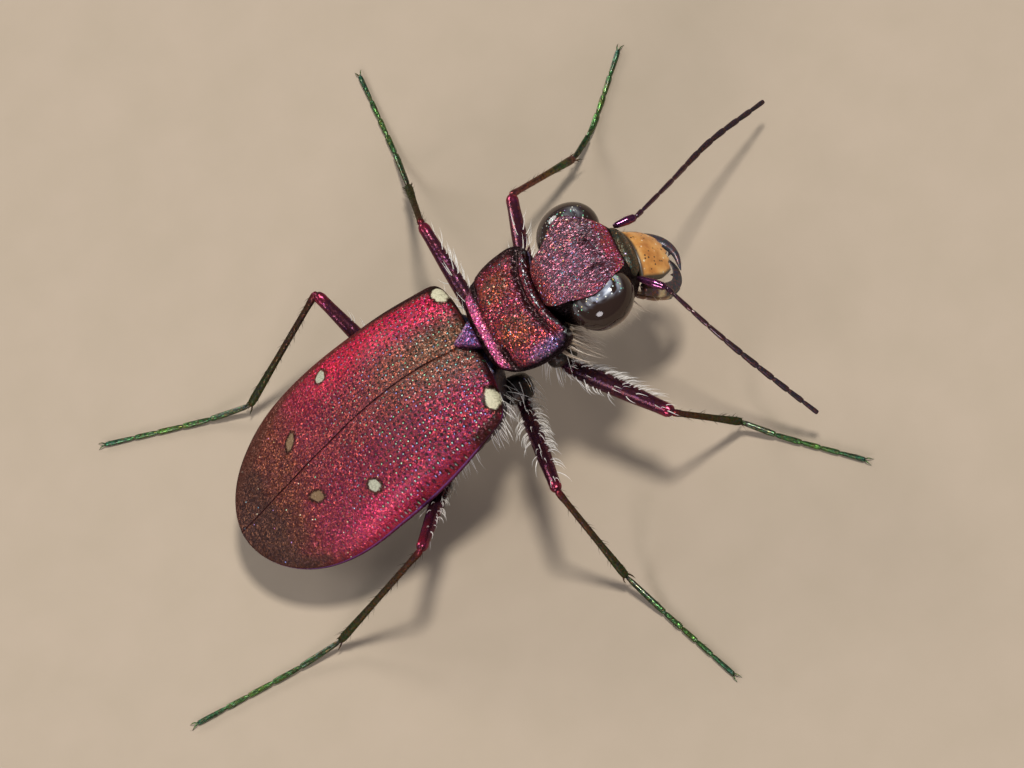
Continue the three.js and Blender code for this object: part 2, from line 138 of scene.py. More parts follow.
def ripple(a, b, size, seed):
    """Gentle unevenness over two coordinates: a few crossing waves, between about -1 and 1."""
    draws, waves = np.random.default_rng(seed), 7
    total = 0
    for _ in range(waves):
        turn, phase = draws.uniform(0, 2 * math.pi, 2)
        wave = 2 * math.pi / (size * draws.uniform(0.7, 1.5))
        total = total + np.sin((a * math.cos(turn) + b * math.sin(turn)) * wave + phase)
    return total / (waves / 2)


def bulge(value, roundness):
    """A section is rounder or squarer as its roundness says: 2 is an ellipse."""
    return np.sign(value) * np.abs(value) ** (2 / roundness)


def stations(front, rear, steps):
    """Sweep angles and places from front to rear, closer together towards both ends."""
    sweep = np.linspace(0, math.pi, steps + 2)[1:-1, None]
    return sweep, front + (rear - front) * (1 - np.cos(sweep)) / 2


def full_turn(count):
    return np.linspace(0, 2 * math.pi, count, endpoint=False)[None]


print("a bump one width away from its place:", round(float(hump(1, 0, 1)), 3))

# %% [markdown]
# Plates, joints and claws are all closed skins of horn. Each could be modelled on its own, but every one is
# a row of rings that ends in two points, so one maker serves them all. It turns the faces when they would
# point inwards, and stores what the materials read: a flat plan of the piece and any named value over it.

# %% Rings made into a closed skin
def add_object(name, data):
    made = bpy.data.objects.new(name, data)
    bpy.context.scene.collection.objects.link(made)
    return made


def read(items, key, width=1, kind=float):
    """One measure of all vertices, corners or stored values of a mesh, as an array."""
    values = np.empty(len(items) * width, kind)
    items.foreach_get(key, values)
    return values.reshape(-1, width) if width > 1 else values


def store(mesh, name, values):
    mesh.attributes.new(name, "FLOAT", "POINT").data.foreach_set("value", values.astype(np.float32))


def skin(name, rows, ends, plan=None, **fields):
    """A closed mesh from rings of points (ring, point, xyz) in metres and a point at each end."""
    count, around = rows.shape[:2]
    points = np.concatenate([rows.reshape(-1, 3), ends])
    ring = np.arange(around)
    after = np.roll(ring, -1)
    base = np.arange(count - 1)[:, None] * around
    top = (count - 1) * around
    quads = np.stack([base + ring, base + after, base + around + after, base + around + ring], -1)
    quads = quads.reshape(-1, 4)
    first = np.stack([np.full(around, count * around), after, ring], -1)
    last = np.stack([np.full(around, count * around + 1), top + ring, top + after], -1)
    a, b, c, d = np.moveaxis(points[quads], 1, 0)
    volume = np.sum(a * np.cross(b, c)) + np.sum(a * np.cross(c, d))
    faces = quads.tolist() + first.tolist() + last.tolist()
    if volume < 0:
        faces = [face[::-1] for face in faces]
    mesh = bpy.data.meshes.new(name)
    mesh.from_pydata(points.tolist(), [], faces)
    mesh.shade_smooth()
    if plan is not None:
        plan = np.asarray(plan, float).reshape(-1, 2)
        plan = np.concatenate([plan, plan[:around].mean(0)[None], plan[-around:].mean(0)[None]])
        corners = plan[read(mesh.loops, "vertex_index", kind=int)]
        mesh.uv_layers.new(name="Plan").data.foreach_set("uv", corners.ravel())
    for field, values in fields.items():
        values = np.broadcast_to(values, (count, around)).astype(float)
        store(mesh, field, np.concatenate([values.ravel(), [values[0].mean(), values[-1].mean()]]))
    return add_object(name, mesh)


# %% A piece put in its place
def place(piece, material, slot, *nodes):
    """Gives a finished piece its material and body, and hides the frame's nodes that it stands for."""
    piece.data.materials.clear()
    piece.data.materials.append(material)
    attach(piece, "root")
    if nodes:
        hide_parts(*nodes)
    print(piece.name, len(piece.data.polygons), "faces")


# %% Body plates
def plate_shell(name, around, steps, front, rear, half_width, top, rim, under, roundness,
                under_roundness=None, ending=0.6, sweep_back=None, relief=None, **fields):
    """A body plate lofted from front to rear; relief and fields are rules of (forward, out, height)."""
    sweep, forward = stations(front, rear, steps)
    turn = full_turn(around)
    shrink = np.sin(sweep) ** ending
    squareness = np.where(np.sin(turn) < 0, under_roundness or roundness, roundness)
    across, upward = bulge(np.cos(turn), squareness), bulge(np.sin(turn), squareness)
    edge = measure(rim, forward)
    reach = np.where(upward > 0, measure(top, forward) - edge, edge - measure(under, forward))
    out = measure(half_width, forward) * shrink * across
    up = edge + reach * shrink * upward
    forward = forward + 0 * out
    if relief:
        up = up + relief(forward, out, upward)
    swept = forward + sweep_back(forward, out) if sweep_back else forward
    ends = body([[at, 0, float(measure(rim, at))] for at in (front, rear)])
    values = {key: rule(forward, out, up) for key, rule in fields.items()}
    rows = body(np.stack([swept, out, up], -1))
    return skin(name, rows, ends, np.stack([forward, out], -1), height=up, **values)


# %% [markdown]
# Legs, feelers, jaws and claws are round or flattened tubes of horn. Each could be a bent cylinder, but a
# smooth line through its named joints, with a radius for every share of the way, follows the animal better.
# The line passes through its points, and sections are carried along it without twist, so flat stays flat.

# %% A smooth line
def smooth_line(points, count):
    """Evenly spaced points on a smooth curve through the given ones."""
    points = np.asarray(points, float)
    if len(points) == 2:
        return points[0] + (points[1] - points[0]) * np.linspace(0, 1, count)[:, None]
    padded = np.concatenate([[2 * points[0] - points[1]], points, [2 * points[-1] - points[-2]]])
    fine = []
    for a, b, c, d in zip(padded, padded[1:], padded[2:], padded[3:]):
        gaps = [max(np.linalg.norm(q - p), 1e-6) ** 0.5 for p, q in ((a, b), (b, c), (c, d))]
        knots = np.cumsum([0] + gaps)
        t = np.linspace(knots[1], knots[2], 40, endpoint=False)[:, None]

        def blend(p, q, i, j):
            return (knots[j] - t) / (knots[j] - knots[i]) * p + (t - knots[i]) / (knots[j] - knots[i]) * q

        ab, bc, cd = blend(a, b, 0, 1), blend(b, c, 1, 2), blend(c, d, 2, 3)
        fine.append(blend(blend(ab, bc, 0, 2), blend(bc, cd, 1, 3), 1, 2))
    fine = np.concatenate(fine + [points[-1:]])
    length = np.concatenate([[0], np.cumsum(np.linalg.norm(np.diff(fine, axis=0), axis=1))])
    even = np.linspace(0, length[-1], count)
    return np.stack([np.interp(even, length, fine[:, k]) for k in range(3)], -1)


# %% Limbs along the line
def carried_frames(line, upright):
    """A side and an up direction at every point of a line, carried along it without twist."""
    tangents = np.gradient(line, axis=0)
    tangents /= np.linalg.norm(tangents, axis=1)[:, None]
    up, ups = np.asarray(upright, float), []
    for tangent in tangents:
        up = up - tangent * (up @ tangent)
        up = up / np.linalg.norm(up)
        ups.append(up)
    return np.cross(tangents, ups), np.array(ups)


def limb(name, points, profile, around=20, steps=60, flat=(1, 1), upright=(0, 0, 1), to_row=standing):
    """A limb with radii given as (share of its length, radius); flat scales it sideways and upright."""
    line = smooth_line(points, steps)
    sides, ups = carried_frames(line, upright)
    shares = np.linspace(0, 1, steps)[:, None]
    radius = np.interp(shares, *np.array(profile, float).T)
    turn = full_turn(around)
    across, upward = np.cos(turn) * radius * flat[0], np.sin(turn) * radius * flat[1]
    rows = line[:, None] + sides[:, None] * across[..., None] + ups[:, None] * upward[..., None]
    plan = np.stack(np.broadcast_arrays(shares, turn / (2 * math.pi)), -1)
    return skin(name, to_row(rows), to_row([line[0], line[-1]]), plan, along=shares)


def joined(name, pieces):
    """Several finished meshes as one piece."""
    first = pieces[0]
    chosen = {"active_object": first, "selected_objects": pieces, "selected_editable_objects": pieces}
    with bpy.context.temp_override(object=first, **chosen):
        bpy.ops.object.join()
    first.name = first.data.name = name
    return first


def unit(vector):
    return vector / np.linalg.norm(vector)


print("a line through three points:", smooth_line([(0, 0, 0), (1, 1, 0), (2, 0, 0)], 3).round(2).tolist())

# %% [markdown]
# The finishes come next. A finish could be painted on, but the shell's colour is a play of light on a fine
# structure, so it is worked out by nodes from the place on the shell. Long sums of nodes are hard to read.
# These helpers let a plus, minus or times sign between two signals add the node that does the same.

# %% Signals between nodes
def node_for(operation, swapped=False):
    """The meaning of a sign between two signals: it adds one maths node."""

    def apply(self, other=0.0):
        first, second = (other, self) if swapped else (self, other)
        if self.number:
            return self.nodes.math(operation, first, second)
        if operation == "MULTIPLY":
            return self.nodes.vector("SCALE", first, scale=second)
        return self.nodes.vector(operation, first, second)

    return apply


class Signal:
    """What comes out of a node: a number, a colour or a vector that changes over the surface."""

    def __init__(self, nodes, socket):
        self.nodes, self.socket = nodes, socket
        self.number = socket.type not in ("VECTOR", "RGBA")

    __add__, __sub__, __mul__, __truediv__ = map(node_for, ("ADD", "SUBTRACT", "MULTIPLY", "DIVIDE"))
    __lt__, __gt__, __pow__, __abs__ = map(node_for, ("LESS_THAN", "GREATER_THAN", "POWER", "ABSOLUTE"))
    __rsub__ = node_for("SUBTRACT", swapped=True)


class Made:
    """A node that was added; made["Color"] is the signal of that output."""

    def __init__(self, nodes, node):
        self.nodes, self.node = nodes, node

    def __getitem__(self, key):
        return Signal(self.nodes, self.node.outputs[key])


# %% Nodes added and linked
class Nodes:
    """Adds nodes to a tree and links them."""

    def __init__(self, tree):
        self.tree = tree

    def add(self, kind, settings=(), *ordered, **named):
        """A node with its settings; inputs are given in order or by name, and None leaves one alone."""
        node = self.tree.nodes.new(kind)
        for key, value in dict(settings).items():
            setattr(node, key, value)
        for socket, value in zip(node.inputs, ordered):
            self.feed(socket, value)
        for key, value in named.items():
            if value is not None:
                self.feed(node.inputs[key.replace("_", " ")], value)
        return Made(self, node)

    def feed(self, socket, value):
        if isinstance(value, Signal):
            self.tree.links.new(value.socket, socket)
        elif value is not None:
            socket.default_value = (*value, 1.0) if socket.type == "RGBA" else value

    def math(self, operation, *values):
        return self.add("ShaderNodeMath", {"operation": operation}, *values)[0]

    def vector(self, operation, a, b=(0, 0, 0), scale=None):
        made = self.add("ShaderNodeVectorMath", {"operation": operation}, a, b, Scale=scale)
        return made["Value" if operation == "LENGTH" else "Vector"]

    def mix(self, share, under, over):
        made = self.add("ShaderNodeMix", {"data_type": "RGBA"}, share)
        self.feed(made.node.inputs[6], under)
        self.feed(made.node.inputs[7], over)
        return made[2]

    def paint(self, colour, *layers):
        """A colour with (share, colour) layers laid over it one after the other."""
        for share, over in layers:
            colour = self.mix(share, colour, over)
        return colour

    def step(self, value, low, high):
        """0 below low, 1 above high and eased between; low above high turns it round."""
        ends = (0.0, 1.0) if low < high else (1.0, 0.0)
        span = (min(low, high), max(low, high))
        return self.add("ShaderNodeMapRange", {"interpolation_type": "SMOOTHSTEP"}, value, *span, *ends)[0]

    def band(self, value, low, inner_low, inner_high, high):
        """1 between the two inner values, eased to 0 at the outer ones."""
        return self.step(value, low, inner_low) * self.step(value, high, inner_high)

    def ramp(self, value, *stops):
        """A colour for each value, from (place, colour) stops."""
        made = self.add("ShaderNodeValToRGB", (), value)
        elements = made.node.color_ramp.elements
        while len(elements) < len(stops):
            elements.new(0.5)
        for element, (place_on, colour) in zip(elements, stops):
            element.position, element.color = place_on, (*colour, 1.0)
        return made[0]

    def noise(self, where, scale, detail=2.0, key=0):
        return self.add("ShaderNodeTexNoise", (), Vector=where, Scale=scale, Detail=detail)[key]

    def cells(self, where, scale=1.0, randomness=1.0, dimensions="3D"):
        settings = {"voronoi_dimensions": dimensions}
        return self.add("ShaderNodeTexVoronoi", settings, Vector=where, Scale=scale, Randomness=randomness)

    def bump(self, height, strength, depth, normal=None):
        """A normal bent by a height; depth is in millimetres."""
        bent = {"Strength": strength, "Distance": depth * MM, "Height": height, "Normal": normal}
        return self.add("ShaderNodeBump", **bent)[0]

    def split(self, vector):
        made = self.add("ShaderNodeSeparateXYZ", (), vector)
        return made[0], made[1], made[2]

    def spots(self):
        """Object coordinates in millimetres."""
        return self.add("ShaderNodeTexCoord")["Object"] * (1 / MM)

    def plan(self):
        return self.add("ShaderNodeUVMap", {"uv_map": "Plan"})[0]

    def field(self, name):
        return self.add("ShaderNodeAttribute", {"attribute_name": name})["Fac"]


# %% Materials and node groups
class Finish(Nodes):
    """The nodes of one material."""

    def __init__(self, name):
        self.material = bpy.data.materials.new(name)
        self.material.use_nodes = True
        super().__init__(self.material.node_tree)

    def done(self, **surface):
        """Feeds the material's shader and gives the material back."""
        shader = self.tree.nodes["Principled BSDF"]
        for label, value in surface.items():
            self.feed(shader.inputs[label.replace("_", " ")], value)
        return self.material


def new_tree(name, kind, inputs, outputs):
    """A node group with (label, kind, value) inputs and (label, kind) outputs."""
    tree = bpy.data.node_groups.new(name, kind)
    for label, socket_kind, value in inputs:
        socket = tree.interface.new_socket(label, in_out="INPUT", socket_type=f"NodeSocket{socket_kind}")
        if value is not None:
            socket.default_value = (*value, 1.0) if socket_kind == "Color" else value
    for label, socket_kind in outputs:
        tree.interface.new_socket(label, in_out="OUTPUT", socket_type=f"NodeSocket{socket_kind}")
    n = Nodes(tree)
    return n, n.add("NodeGroupInput"), n.add("NodeGroupOutput").node.inputs


# %% [markdown]
# Most plates of this beetle share one effect: the shell is cut into tiny cells, each tilted its own way and
# tuned to a slightly different colour, and a few flash in another one: a painted glint, bright in the colour
# itself. A glossy paint would shine as one sheet, and only tilted cells break up the light. They are a node
# group with its own values in each metal.

# %% Node group: metal grain
GLINT_HUES = (
    (0.0, (0.15, 0.9, 0.5)), (0.25, (0.9, 0.95, 0.8)), (0.45, (0.95, 0.5, 0.1)),
    (0.6, (0.3, 0.75, 0.9)), (0.8, (0.35, 0.4, 1.0)), (1.0, (0.95, 0.3, 0.7)),
)
MIDDLE_GREY = (0.5, 0.5, 0.5)


def make_grain():
    """Cells of a shell, each with its own tilt and tint."""
    n, given, out = new_tree(
        "Metal grain", "ShaderNodeTree",
        [
            ("Place", "Vector", None), ("Cell", "Float", 0.05), ("Tilt", "Float", 0.5),
            ("Main", "Color", (0.5, 0.03, 0.08)), ("Warm", "Color", (0.7, 0.14, 0.03)),
            ("Cool", "Color", (0.45, 0.03, 0.25)), ("Dark", "Color", (0.06, 0.03, 0.02)),
            ("Dark share", "Float", 0.4), ("Glint share", "Float", 0.01),
        ],
        [("Color", "Color"), ("Normal", "Vector"), ("Glint", "Float")],
    )
    size = n.add("ShaderNodeCombineXYZ", (), given["Cell"], given["Cell"], given["Cell"])[0]
    scaled = given["Place"] / size
    cells = n.cells(scaled + n.noise(scaled, 0.8, 1.0, "Color") * 0.9)
    warm_pick, cool_pick, dark_pick = n.split(cells["Color"])
    shade = dark_pick + (n.noise(scaled, 0.22) - 0.5) * 0.7
    colour = n.paint(
        given["Main"], (n.step(warm_pick, 0.45, 0.85), given["Warm"]),
        (n.step(cool_pick, 0.62, 0.95), given["Cool"]),
        (n.step(shade, 0.35, 0.8) * given["Dark share"], given["Dark"]),
    )
    # The rare glints are painted highlights: bright hues laid into the colour.
    rare = n.cells(scaled * 0.55)
    chance, hue_pick, _ = n.split(rare["Color"])
    glint = (chance < given["Glint share"]) * n.step(rare["Distance"], 0.4, 0.2)
    lean = (cells["Color"] - MIDDLE_GREY) * given["Tilt"]
    normal = n.vector("NORMALIZE", n.add("ShaderNodeNewGeometry")["Normal"] + lean)
    n.feed(out["Color"], n.mix(glint, colour, n.ramp(hue_pick, *GLINT_HUES)))
    n.feed(out["Glint"], glint)
    n.feed(out["Normal"], normal)
    return n.tree


GRAIN = make_grain()
print("metal grain:", len(GRAIN.nodes), "nodes")


# %% The grain in a material
def grain_node(n, where, **values):
    return n.add("ShaderNodeGroup", {"node_tree": GRAIN}, Place=where, **values)


def zoned(n, grain, base, *zones):
    """Feeds a grain's three tints, each changed in turn by (share, three tints) zones."""
    for k, label in enumerate(("Main", "Warm", "Cool")):
        tint = n.paint(base[k], *((share, tints[k]) for share, tints in zones))
        n.feed(grain.node.inputs[label], tint)


# %% [markdown]
# The wing cases carry the most: a crimson ground that turns olive near the scutellum and brown towards the
# tip, rows of fine pits with a bright speck in some, dark margins and three pale spots a side. Much of it is
# painted light: the flanks are painted brighter and the right front darker, the tip is darkened by painted
# shade on top of its own brown, the pits' darkness is painted shade, the specks are painted highlights and
# the wider dark margin on the left is painted shade. A painted picture would blur up close, so every mark is
# a rule on the plan of the body and stays sharp and in place.

# %% Pale spots
SPOT_EDGE, SPOT_RIM = (1.0, 0.75), (1.45, 1.1)
SPOTS = (
    {"at": (0.22, 1.76), "half": (0.32, 0.175), "turned": 1.85, "colour": (0.62, 0.60, 0.42)},
    {"at": (-3.72, 1.84), "half": (0.21, 0.17), "turned": 0.9, "colour": (0.42, 0.43, 0.32)},
    {"at": (-5.36, 0.92), "half": (0.25, 0.145), "turned": 0.75, "colour": (0.19, 0.125, 0.065)},
)


def spot_masks(n, spot, place_on):
    """Masks of a pale spot and of the spot with its dark rim, mirrored on both sides."""
    x, y, _ = n.split(place_on)
    dx, dy = x - spot["at"][0], abs(y) - spot["at"][1]
    half_length, half_width = spot["half"]
    cos, sin = math.cos(spot["turned"]), math.sin(spot["turned"])
    long = dx * (cos / half_length) + dy * (sin / half_length)
    wide = dy * (cos / half_width) - dx * (sin / half_width)
    away = n.math("SQRT", long * long + wide * wide)
    return n.step(away, *SPOT_EDGE), n.step(away, *SPOT_RIM)


# %% Ground of the wing cases
def wing_case_grain(n, where, forward, out, margin):
    """The ground of cells, with its tints by zone, some of them painted light and shade, and the mask of the
    tip.
    """
    side, on_right = abs(out), n.step(out, 0.1, -0.1)
    uneven = forward + n.noise(where, 1.1) * 1.4
    olive = n.step(uneven, -2.6, 0.1) * n.step(side, 1.45, 0.4)
    seamward = n.step(side, 1.3, 0.1) * n.step(uneven, -6.5, -2.0)
    # Painted shade: the front of the right wing case is darker.
    right_front = n.step(out, 0.3, -1.6) * n.step(uneven, -4.6, -0.6)
    # Painted light: the outer flanks are painted brighter, the left one most, and the far outer edge of the
    # right one too.
    lit_flank = n.step(side, 0.8, 1.75) * n.step(uneven, -4.4, -2.4) * (0.92 - on_right * 0.75)
    lit_right_flank = n.step(out, -1.9, -2.45) * n.step(forward, -5.8, -3.8)
    # Towards the tip the ground turns brown and darker: partly the shell's own brown, partly painted shade.
    brown = n.step(uneven + n.step(out, -0.2, -1.8) * 0.9, -3.7, -5.3)
    tip = n.step(uneven - n.step(margin, 0.35, 0.6) * 0.7, -5.3, -6.35)
    shares = {"Dark_share": 0.55, "Glint_share": 0.014}
    grain = grain_node(n, where, Cell=0.033, Tilt=0.8, Dark=(0.05, 0.022, 0.022), **shares)
    zoned(
        n, grain, ((0.38, 0.048, 0.088), (0.49, 0.080, 0.078), (0.30, 0.06, 0.17)),
        (lit_flank, ((0.78, 0.030, 0.10), (0.84, 0.08, 0.07), (0.60, 0.038, 0.19))),
        (lit_right_flank, ((0.88, 0.055, 0.17), (0.95, 0.09, 0.14), (0.72, 0.065, 0.30))),
        (olive * 0.85, ((0.13, 0.11, 0.05), (0.34, 0.14, 0.06), (0.08, 0.17, 0.085))),
        (seamward * 0.5, ((0.23, 0.08, 0.065), (0.40, 0.12, 0.07), (0.15, 0.085, 0.09))),
        (right_front * 0.7, ((0.24, 0.030, 0.065), (0.38, 0.05, 0.055), (0.14, 0.05, 0.14))),
        (brown * 0.85, ((0.21, 0.075, 0.055), (0.33, 0.13, 0.06), (0.13, 0.065, 0.065))),
        (tip * 0.85, ((0.085, 0.05, 0.042), (0.17, 0.085, 0.055), (0.06, 0.052, 0.05))),
    )
    return grain, tip


# %% Pits and specks
PIT_SPACING = 0.16
SPECK_GLINT_HUES = (
    (0.0, (0.20, 0.80, 0.40)), (0.3, (0.70, 0.95, 0.75)), (0.45, (0.25, 0.75, 0.75)),
    (0.65, (0.90, 0.65, 0.50)), (0.8, (0.3, 0.5, 0.95)), (1.0, (0.5, 0.35, 0.9)),
)


def wing_case_pits(n, plan, forward, out, margin):
    """Distance from the pits' middles, the mask of the pits' painted shade, and the mask and hues of the
    bright specks, painted highlights on the pits' lit side.
    """
    cell = plan * (1 / PIT_SPACING)
    pits = n.cells(cell, randomness=0.4, dimensions="2D")
    hue_pick, speck_pick, _ = n.split(pits["Color"])
    fade = n.step(forward, -6.4, -1.4) * n.step(abs(out), 0.05, 0.2) * n.step(margin, 0.92, 0.75)
    # The pits are painted dark: painted shade in the hollows.
    pit = n.step(pits["Distance"], 0.33, 0.2) * (fade * 0.68 + 0.12)
    # Each speck sits off the pit's middle, on its lit side: a painted highlight.
    lit_side_distance = n.vector("LENGTH", cell - pits["Position"] - (-0.12, -0.05, 0))
    speck = n.step(lit_side_distance, 0.15, 0.08) * fade * n.step(speck_pick, 0.2, 0.8)
    speck = speck * (1.0 - n.step(out, 0.4, 1.4) * 0.5)
    return pits["Distance"], pit, speck, n.ramp(hue_pick, *SPECK_GLINT_HUES)


# %% Wing case finish
def wing_case_finish():
    n = Finish("Wing case crimson")
    where, plan, margin = n.spots(), n.plan(), n.field("margin")
    forward, out, _ = n.split(plan)
    on_left, on_right = n.step(out, -0.1, 0.1), n.step(out, 0.1, -0.1)
    grain, tip = wing_case_grain(n, where, forward, out, margin)
    pit_distance, pit, speck, speck_glint_hue = wing_case_pits(n, plan, forward, out, margin)

    # The side margins are violet, then nearly black. On the left flank, and more so towards the tip, the dark
    # band is wider and brown: painted shade.
    left_shade_widening = n.step(forward, -4.5, -6.8) * 0.19 + 0.54
    reach = margin - 0.07 + left_shade_widening * on_left
    margin_tint_and_shade = n.mix(on_left, (0.16, 0.05, 0.17), (0.12, 0.055, 0.04))
    black = n.step(reach - on_left * n.step(forward, -1.5, -4.0) * 0.32, 0.86, 0.95)
    hairline = n.band(margin, 0.88, 0.90, 0.92, 0.94) * on_right
    shoulder = n.band(forward, -1.0, -0.7, 0.05, 0.2) * n.step(margin, 0.5, 0.58)
    suture = n.step(abs(out), 0.03, 0.012) * n.step(forward, 0.3, -1.2)
    # Over the ground go the pits' painted shade and the specks' painted highlights, then the margins.
    colour = n.paint(
        grain["Color"], (pit, (0.016, 0.024, 0.02)), (speck, speck_glint_hue),
        (n.step(reach, 0.78, 0.87) * 0.8, margin_tint_and_shade), (black, (0.022, 0.012, 0.015)),
        (hairline * 0.8, (0.30, 0.16, 0.60)), (shoulder * 0.85, (0.05, 0.024, 0.02)),
        (suture * 0.9, (0.035, 0.008, 0.01)),
    )
    place_on = plan + (n.noise(where, 7.0, key="Color") - MIDDLE_GREY) * 0.13
    plain = speck
    for spot in SPOTS:
        pale, with_rim = spot_masks(n, spot, place_on)
        colour = n.paint(colour, (with_rim * 0.8, (0.03, 0.025, 0.015)), (pale, spot["colour"]))
        plain = n.math("MAXIMUM", plain, pale)
    plain = n.math("MAXIMUM", plain, grain["Glint"] * 0.8)
    return n.done(
        Base_Color=colour, Metallic=0.93 - plain * 0.93, Roughness=tip * 0.1 + 0.42, Coat_Weight=0.08,
        Coat_Roughness=0.3, Specular_Tint=(0.45, 0.15, 0.2),
        Normal=n.bump(n.step(pit_distance, 0.12, 0.34), 0.35, 0.014, grain["Normal"]),
    )


WING_CASE = wing_case_finish()
print("wing case finish:", len(WING_CASE.node_tree.nodes), "nodes")

# %% [markdown]
# The neck shield, the head and the scutellum share the cells but not the pits. The shield has orange flecks
# and violet rims, the head fine lengthwise lines. One finish for all would look like one casting, so each
# has its own tints by place. The height stored on a plate darkens the sides that turn under as painted
# shade; the grooves and the left side are painted darker, and glints on the shield's rims and a brighter brow
# on the head are painted highlights.

# %% Shield finish
def shield_finish():
    n = Finish("Neck shield crimson")
    where, plan, up = n.spots(), n.plan(), n.field("height")
    forward, out, _ = n.split(plan)
    side, not_right = abs(out), n.step(out, -1.35, -0.8)
    dx, dy = (forward - 1.75) * 1.5, (side - 0.72) * 1.6
    boss = n.step(dx * dx + dy * dy, 0.9, 0.1)
    rosy = n.step(forward, 1.12, 1.0)
    right_corner = n.step(forward, 1.5, 2.1) * n.step(out, -1.25, -1.55)
    dark = {"Dark": (0.026, 0.024, 0.02), "Dark_share": 0.9 - rosy * 0.55}
    grain = grain_node(n, where, Cell=0.031, Tilt=1.2, Glint_share=0.06, **dark)
    zoned(
        n, grain, ((0.38, 0.045, 0.09), (0.66, 0.11, 0.07), (0.28, 0.13, 0.24)),
        (boss * 0.65, ((0.28, 0.075, 0.06), (0.90, 0.21, 0.05), (0.20, 0.24, 0.10))),
        (rosy * 0.85, ((0.95, 0.12, 0.36), (1.0, 0.36, 0.45), (0.75, 0.28, 0.68))),
        (right_corner, ((0.42, 0.20, 0.50), (0.62, 0.22, 0.36), (0.28, 0.34, 0.80))),
    )
    glass = n.noise(where, 9.0, 1.0)
    # Painted shade: the left side is darker where it turns down.
    left_rim_shade = n.step(up, -0.06, -0.26) * n.step(out, 0.8, 1.3)
    # Painted highlight: a broken violet-blue line of glints along the rim.
    rim_glint_line = n.step(up, -0.40, -0.44) * n.step(glass, 0.4, 0.6) * n.step(out, -0.2, 0.5)
    # Painted shade in the grooves, the rear pits and the middle line.
    groove = n.field("groove") * n.math("MAXIMUM", not_right, n.step(forward, 1.9, 1.7))
    # Painted highlight: broken pale glints along the collar.
    collar = n.band(forward, 2.60, 2.64, 2.67, 2.72) * n.step(glass, 0.42, 0.6)
    # Painted shade also darkens the band into the front groove and the sides that turn under.
    colour = n.paint(
        grain["Color"], (n.step(forward, 2.15, 2.4) * 0.3 * not_right, (0.075, 0.045, 0.05)),
        (left_rim_shade * 0.9, (0.035, 0.028, 0.024)), (n.step(up, -0.22, -0.42), (0.012, 0.008, 0.012)),
        (rim_glint_line * n.step(up, -0.56, -0.50), (0.30, 0.32, 0.62)), (groove * 0.85, (0.05, 0.034, 0.034)),
        (collar * 0.85, (0.42, 0.5, 0.52)), (n.step(forward, 0.86, 0.80), (0.035, 0.02, 0.018)),
    )
    return n.done(
        Base_Color=colour, Metallic=0.92 - grain["Glint"] * 0.8, Roughness=0.34, Coat_Weight=0.06,
        Coat_Roughness=0.2, Specular_Tint=(0.4, 0.2, 0.3), Normal=grain["Normal"],
    )


SHIELD = shield_finish()
print("shield finish:", len(SHIELD.node_tree.nodes), "nodes")

# %% Head finish
def head_finish():
    n = Finish("Head crimson")
    where, plan, height = n.spots(), n.plan(), n.field("height")
    forward, out, _ = n.split(plan)
    ragged = forward + (n.noise(where, 5.0) - 0.5) * 0.5
    # Painted highlight: the brow's front rim is brighter, with more glints.
    brow = n.step(ragged, 4.76, 4.94) * n.step(height, -0.9, -0.55)
    nape, rims = n.step(forward, 3.3, 2.9), n.step(abs(out), 0.75, 1.1)
    stretched = n.add("ShaderNodeMapping", (), Vector=where, Scale=(1.0, 0.6, 1.0))[0]
    dark = {"Dark": (0.045, 0.042, 0.05), "Dark_share": 0.85 - brow * 0.05}
    grain = grain_node(n, stretched, Cell=0.027, Tilt=1.15, Glint_share=brow * 0.2 + 0.15, **dark)
    zoned(
        n, grain, ((0.36, 0.13, 0.19), (0.58, 0.12, 0.19), (0.26, 0.24, 0.33)),
        (rims * 0.5, ((0.45, 0.05, 0.12), (0.60, 0.12, 0.06), (0.35, 0.10, 0.25))),
        # painted shade: the left half is darker
        (n.step(out, 0.1, 0.9) * 0.7, ((0.22, 0.09, 0.12), (0.34, 0.12, 0.09), (0.18, 0.15, 0.20))),
        (nape * 0.75, ((0.48, 0.055, 0.05), (0.70, 0.14, 0.04), (0.32, 0.08, 0.10))),
        # painted highlight on the brow
        (brow * 0.8, ((1.0, 0.09, 0.22), (1.0, 0.33, 0.14), (0.8, 0.17, 0.45))),
    )
    # Painted shade: darker where the head turns under and in its two hollows.
    colour = n.paint(
        grain["Color"], (n.step(n.field("plate"), 0.75, 0.35), (0.02, 0.014, 0.016)),
        (n.step(height, -0.5, -0.8), (0.02, 0.015, 0.016)), (n.field("groove") * 0.9, (0.045, 0.015, 0.02)),
    )
    lines = n.math("SINE", (out * 42.0 + n.noise(where, 3.0) * 8.0) * 2.0)
    return n.done(
        Base_Color=colour, Metallic=0.9 - grain["Glint"] * 0.75, Roughness=0.34, Coat_Weight=0.08,
        Coat_Roughness=0.25, Specular_Tint=(0.4, 0.25, 0.3),
        Normal=n.bump(lines, 0.3, 0.012, grain["Normal"]),
    )


HEAD_METAL = head_finish()
print("head finish:", len(HEAD_METAL.node_tree.nodes), "nodes")

# %% Scutellum, underside and face metals
def plain_metal(name, main, warm, cool, dark, metallic=0.85, roughness=0.35, coat=0.2, **grain_values):
    """A shell of one colour, with its grain."""
    n = Finish(name)
    grain = grain_node(n, n.spots(), Main=main, Warm=warm, Cool=cool, Dark=dark, **grain_values)
    surface = {"Metallic": metallic, "Roughness": roughness, "Coat_Weight": coat, "Coat_Roughness": 0.15}
    return n.done(Base_Color=grain["Color"], Normal=grain["Normal"], **surface)


